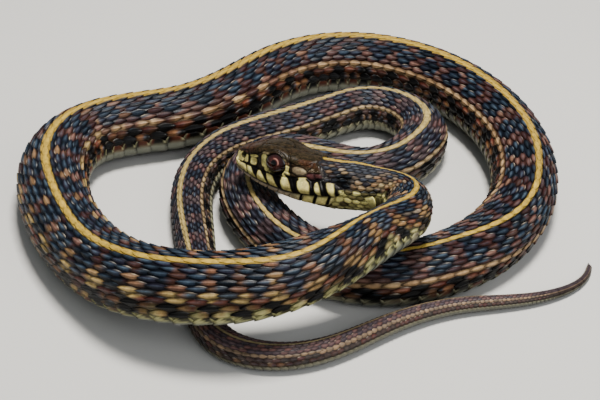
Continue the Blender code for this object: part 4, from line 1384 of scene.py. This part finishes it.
# Finishes
def map_range(tree, span, low, high):
    """Add a node that maps a span of numbers onto the range from low to high."""
    node = tree.nodes.new("ShaderNodeMapRange")
    for name, value in zip(("From Min", "From Max", "To Min", "To Max"), (*span, low, high)):
        node.inputs[name].default_value = value
    return node


def link_all(tree, *pairs):
    """Link nodes, each link given as a node, its output, the next node and its input."""
    for source, output, target, socket in pairs:
        tree.links.new(source.outputs[output], target.inputs[socket])


def mottle_group():
    """Build the shared effect: a fine uneven grain as a factor and a height."""
    group = bpy.data.node_groups.new("coat_grain", "ShaderNodeTree")
    face = group.interface
    for way, names in (("INPUT", ("Size", "Fine size")), ("OUTPUT", ("Mottle", "Height"))):
        for name in names:
            face.new_socket(name, in_out=way, socket_type="NodeSocketFloat")
    nodes = group.nodes
    start = nodes.new("NodeGroupInput")
    finish = nodes.new("NodeGroupOutput")
    place = nodes.new("ShaderNodeTexCoord")
    coarse = nodes.new("ShaderNodeTexNoise")
    fine = nodes.new("ShaderNodeTexNoise")
    coarse.inputs["Detail"].default_value = 3.0
    fine.inputs["Detail"].default_value = 2.0
    speck = map_range(group, (0.56, 0.72), 0.0, 1.0)
    total = nodes.new("ShaderNodeMath")
    total.operation = "MULTIPLY_ADD"
    total.inputs[1].default_value = 0.35
    link_all(
        group,
        (place, "Object", coarse, "Vector"),
        (place, "Object", fine, "Vector"),
        (start, "Size", coarse, "Scale"),
        (start, "Fine size", fine, "Scale"),
        (fine, "Fac", speck, "Value"),
        (speck, "Result", total, 0),
        (coarse, "Fac", total, 2),
        (total, "Value", finish, "Mottle"),
        (fine, "Fac", finish, "Height"),
    )
    return group


def finish_material(name, grain, size, fine_size, contrast, roughness, bump, coat):
    """Make a finish that takes its colour from the markings, with grain in colour, gloss and height."""
    material = bpy.data.materials.new(name)
    material.use_nodes = True
    tree = material.node_tree
    shader = tree.nodes["Principled BSDF"]
    tint = tree.nodes.new("ShaderNodeAttribute")
    tint.attribute_name = "marking"
    group = tree.nodes.new("ShaderNodeGroup")
    group.node_tree = grain
    group.inputs["Size"].default_value = size
    group.inputs["Fine size"].default_value = fine_size
    shade = map_range(tree, NOISE_MIDDLE, 1.0 - contrast, 1.0 + contrast)
    scale = tree.nodes.new("ShaderNodeVectorMath")
    scale.operation = "SCALE"
    gloss = map_range(tree, NOISE_MIDDLE, roughness - 0.07, roughness + 0.09)
    relief = tree.nodes.new("ShaderNodeBump")
    relief.inputs["Strength"].default_value = bump
    relief.inputs["Distance"].default_value = GRAIN_DEPTH
    link_all(
        tree,
        (group, "Mottle", shade, "Value"),
        (tint, "Color", scale, 0),
        (shade, "Result", scale, "Scale"),
        (scale, "Vector", shader, "Base Color"),
        (group, "Mottle", gloss, "Value"),
        (gloss, "Result", shader, "Roughness"),
        (group, "Height", relief, "Height"),
        (relief, "Normal", shader, "Normal"),
    )
    shader.inputs["IOR"].default_value = SKIN_IOR
    shader.inputs["Specular IOR Level"].default_value = SKIN_SHINE
    shader.inputs["Coat Weight"].default_value = coat
    shader.inputs["Coat Roughness"].default_value = EYE_COAT_ROUGHNESS
    return material


def dress(piece, material, nodes=()):
    """Give a piece its finish and tie it to the frame."""
    piece.data.materials.clear()
    piece.data.materials.append(material)
    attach(piece, "root")
    if nodes:
        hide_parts(*nodes)


# Studio
def make_floor():
    """Lay the pale floor just under the animal."""
    bpy.ops.object.select_all(action="DESELECT")
    bpy.ops.mesh.primitive_plane_add(size=FLOOR_SIZE, location=(0.0, 0.0, -FLOOR_DROP))
    floor = bpy.context.active_object
    floor.name = "floor"
    paint = bpy.data.materials.new("floor_paint")
    paint.use_nodes = True
    shader = paint.node_tree.nodes["Principled BSDF"]
    shader.inputs["Base Color"].default_value = FLOOR_COLOUR
    shader.inputs["Roughness"].default_value = FLOOR_ROUGHNESS
    floor.data.materials.append(paint)


def make_camera():
    """Set the camera that looks at the coil's middle from the photo's side."""
    pitch = math.radians(CAMERA_PITCH)
    forward = Vector((0.0, math.cos(pitch), -math.sin(pitch)))
    data = bpy.data.cameras.new("camera")
    data.sensor_width = SENSOR_WIDTH
    data.lens = SENSOR_WIDTH * CAMERA_FOCAL
    data.clip_start = 0.01
    camera = bpy.data.objects.new("camera", data)
    bpy.context.scene.collection.objects.link(camera)
    camera.location = Vector((-COIL_MIDDLE[0], -COIL_MIDDLE[1], 0.0)) * MM - forward * CAMERA_DISTANCE
    camera.rotation_euler = forward.to_track_quat("-Z", "Y").to_euler()
    bpy.context.scene.camera = camera


def make_studio():
    """Set the floor, the even sky, the soft lamps and the camera."""
    make_floor()
    world = bpy.data.worlds.new("studio")
    world.use_nodes = True
    sky = world.node_tree.nodes["Background"]
    sky.inputs["Color"].default_value = SKY_COLOUR
    sky.inputs["Strength"].default_value = SKY_STRENGTH
    bpy.context.scene.world = world
    for lamp in LAMPS:
        add_light(*lamp)
    make_camera()


def add_light(name, place, size, power, colour):
    """Add a soft square lamp that looks at the coil."""
    data = bpy.data.lights.new(name, "AREA")
    data.size = size
    data.energy = power
    data.color = colour
    lamp = bpy.data.objects.new(name, data)
    bpy.context.scene.collection.objects.link(lamp)
    lamp.location = place
    lamp.rotation_euler = (-Vector(place)).to_track_quat("-Z", "Y").to_euler()


def main():
    """Build the finishes, dress the animal and set the studio."""
    grain = mottle_group()
    finish = {name: finish_material(name, grain, *values) for name, values in FINISHES.items()}
    nodes = sorted(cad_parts)
    flesh = [node for node in nodes if not node.startswith("eye")]
    dress(make_skin(), finish["skin_finish"], flesh)
    for piece in make_scales():
        dress(piece, finish["scale_finish"])
    for piece in make_scutes():
        dress(piece, finish["belly_finish"])
    for name, node, side in (("left_eye", "eye_left", -1), ("right_eye", "eye_right", 1)):
        dress(make_eye(name, side), finish["eye_finish"], [node])
    make_studio()


main()
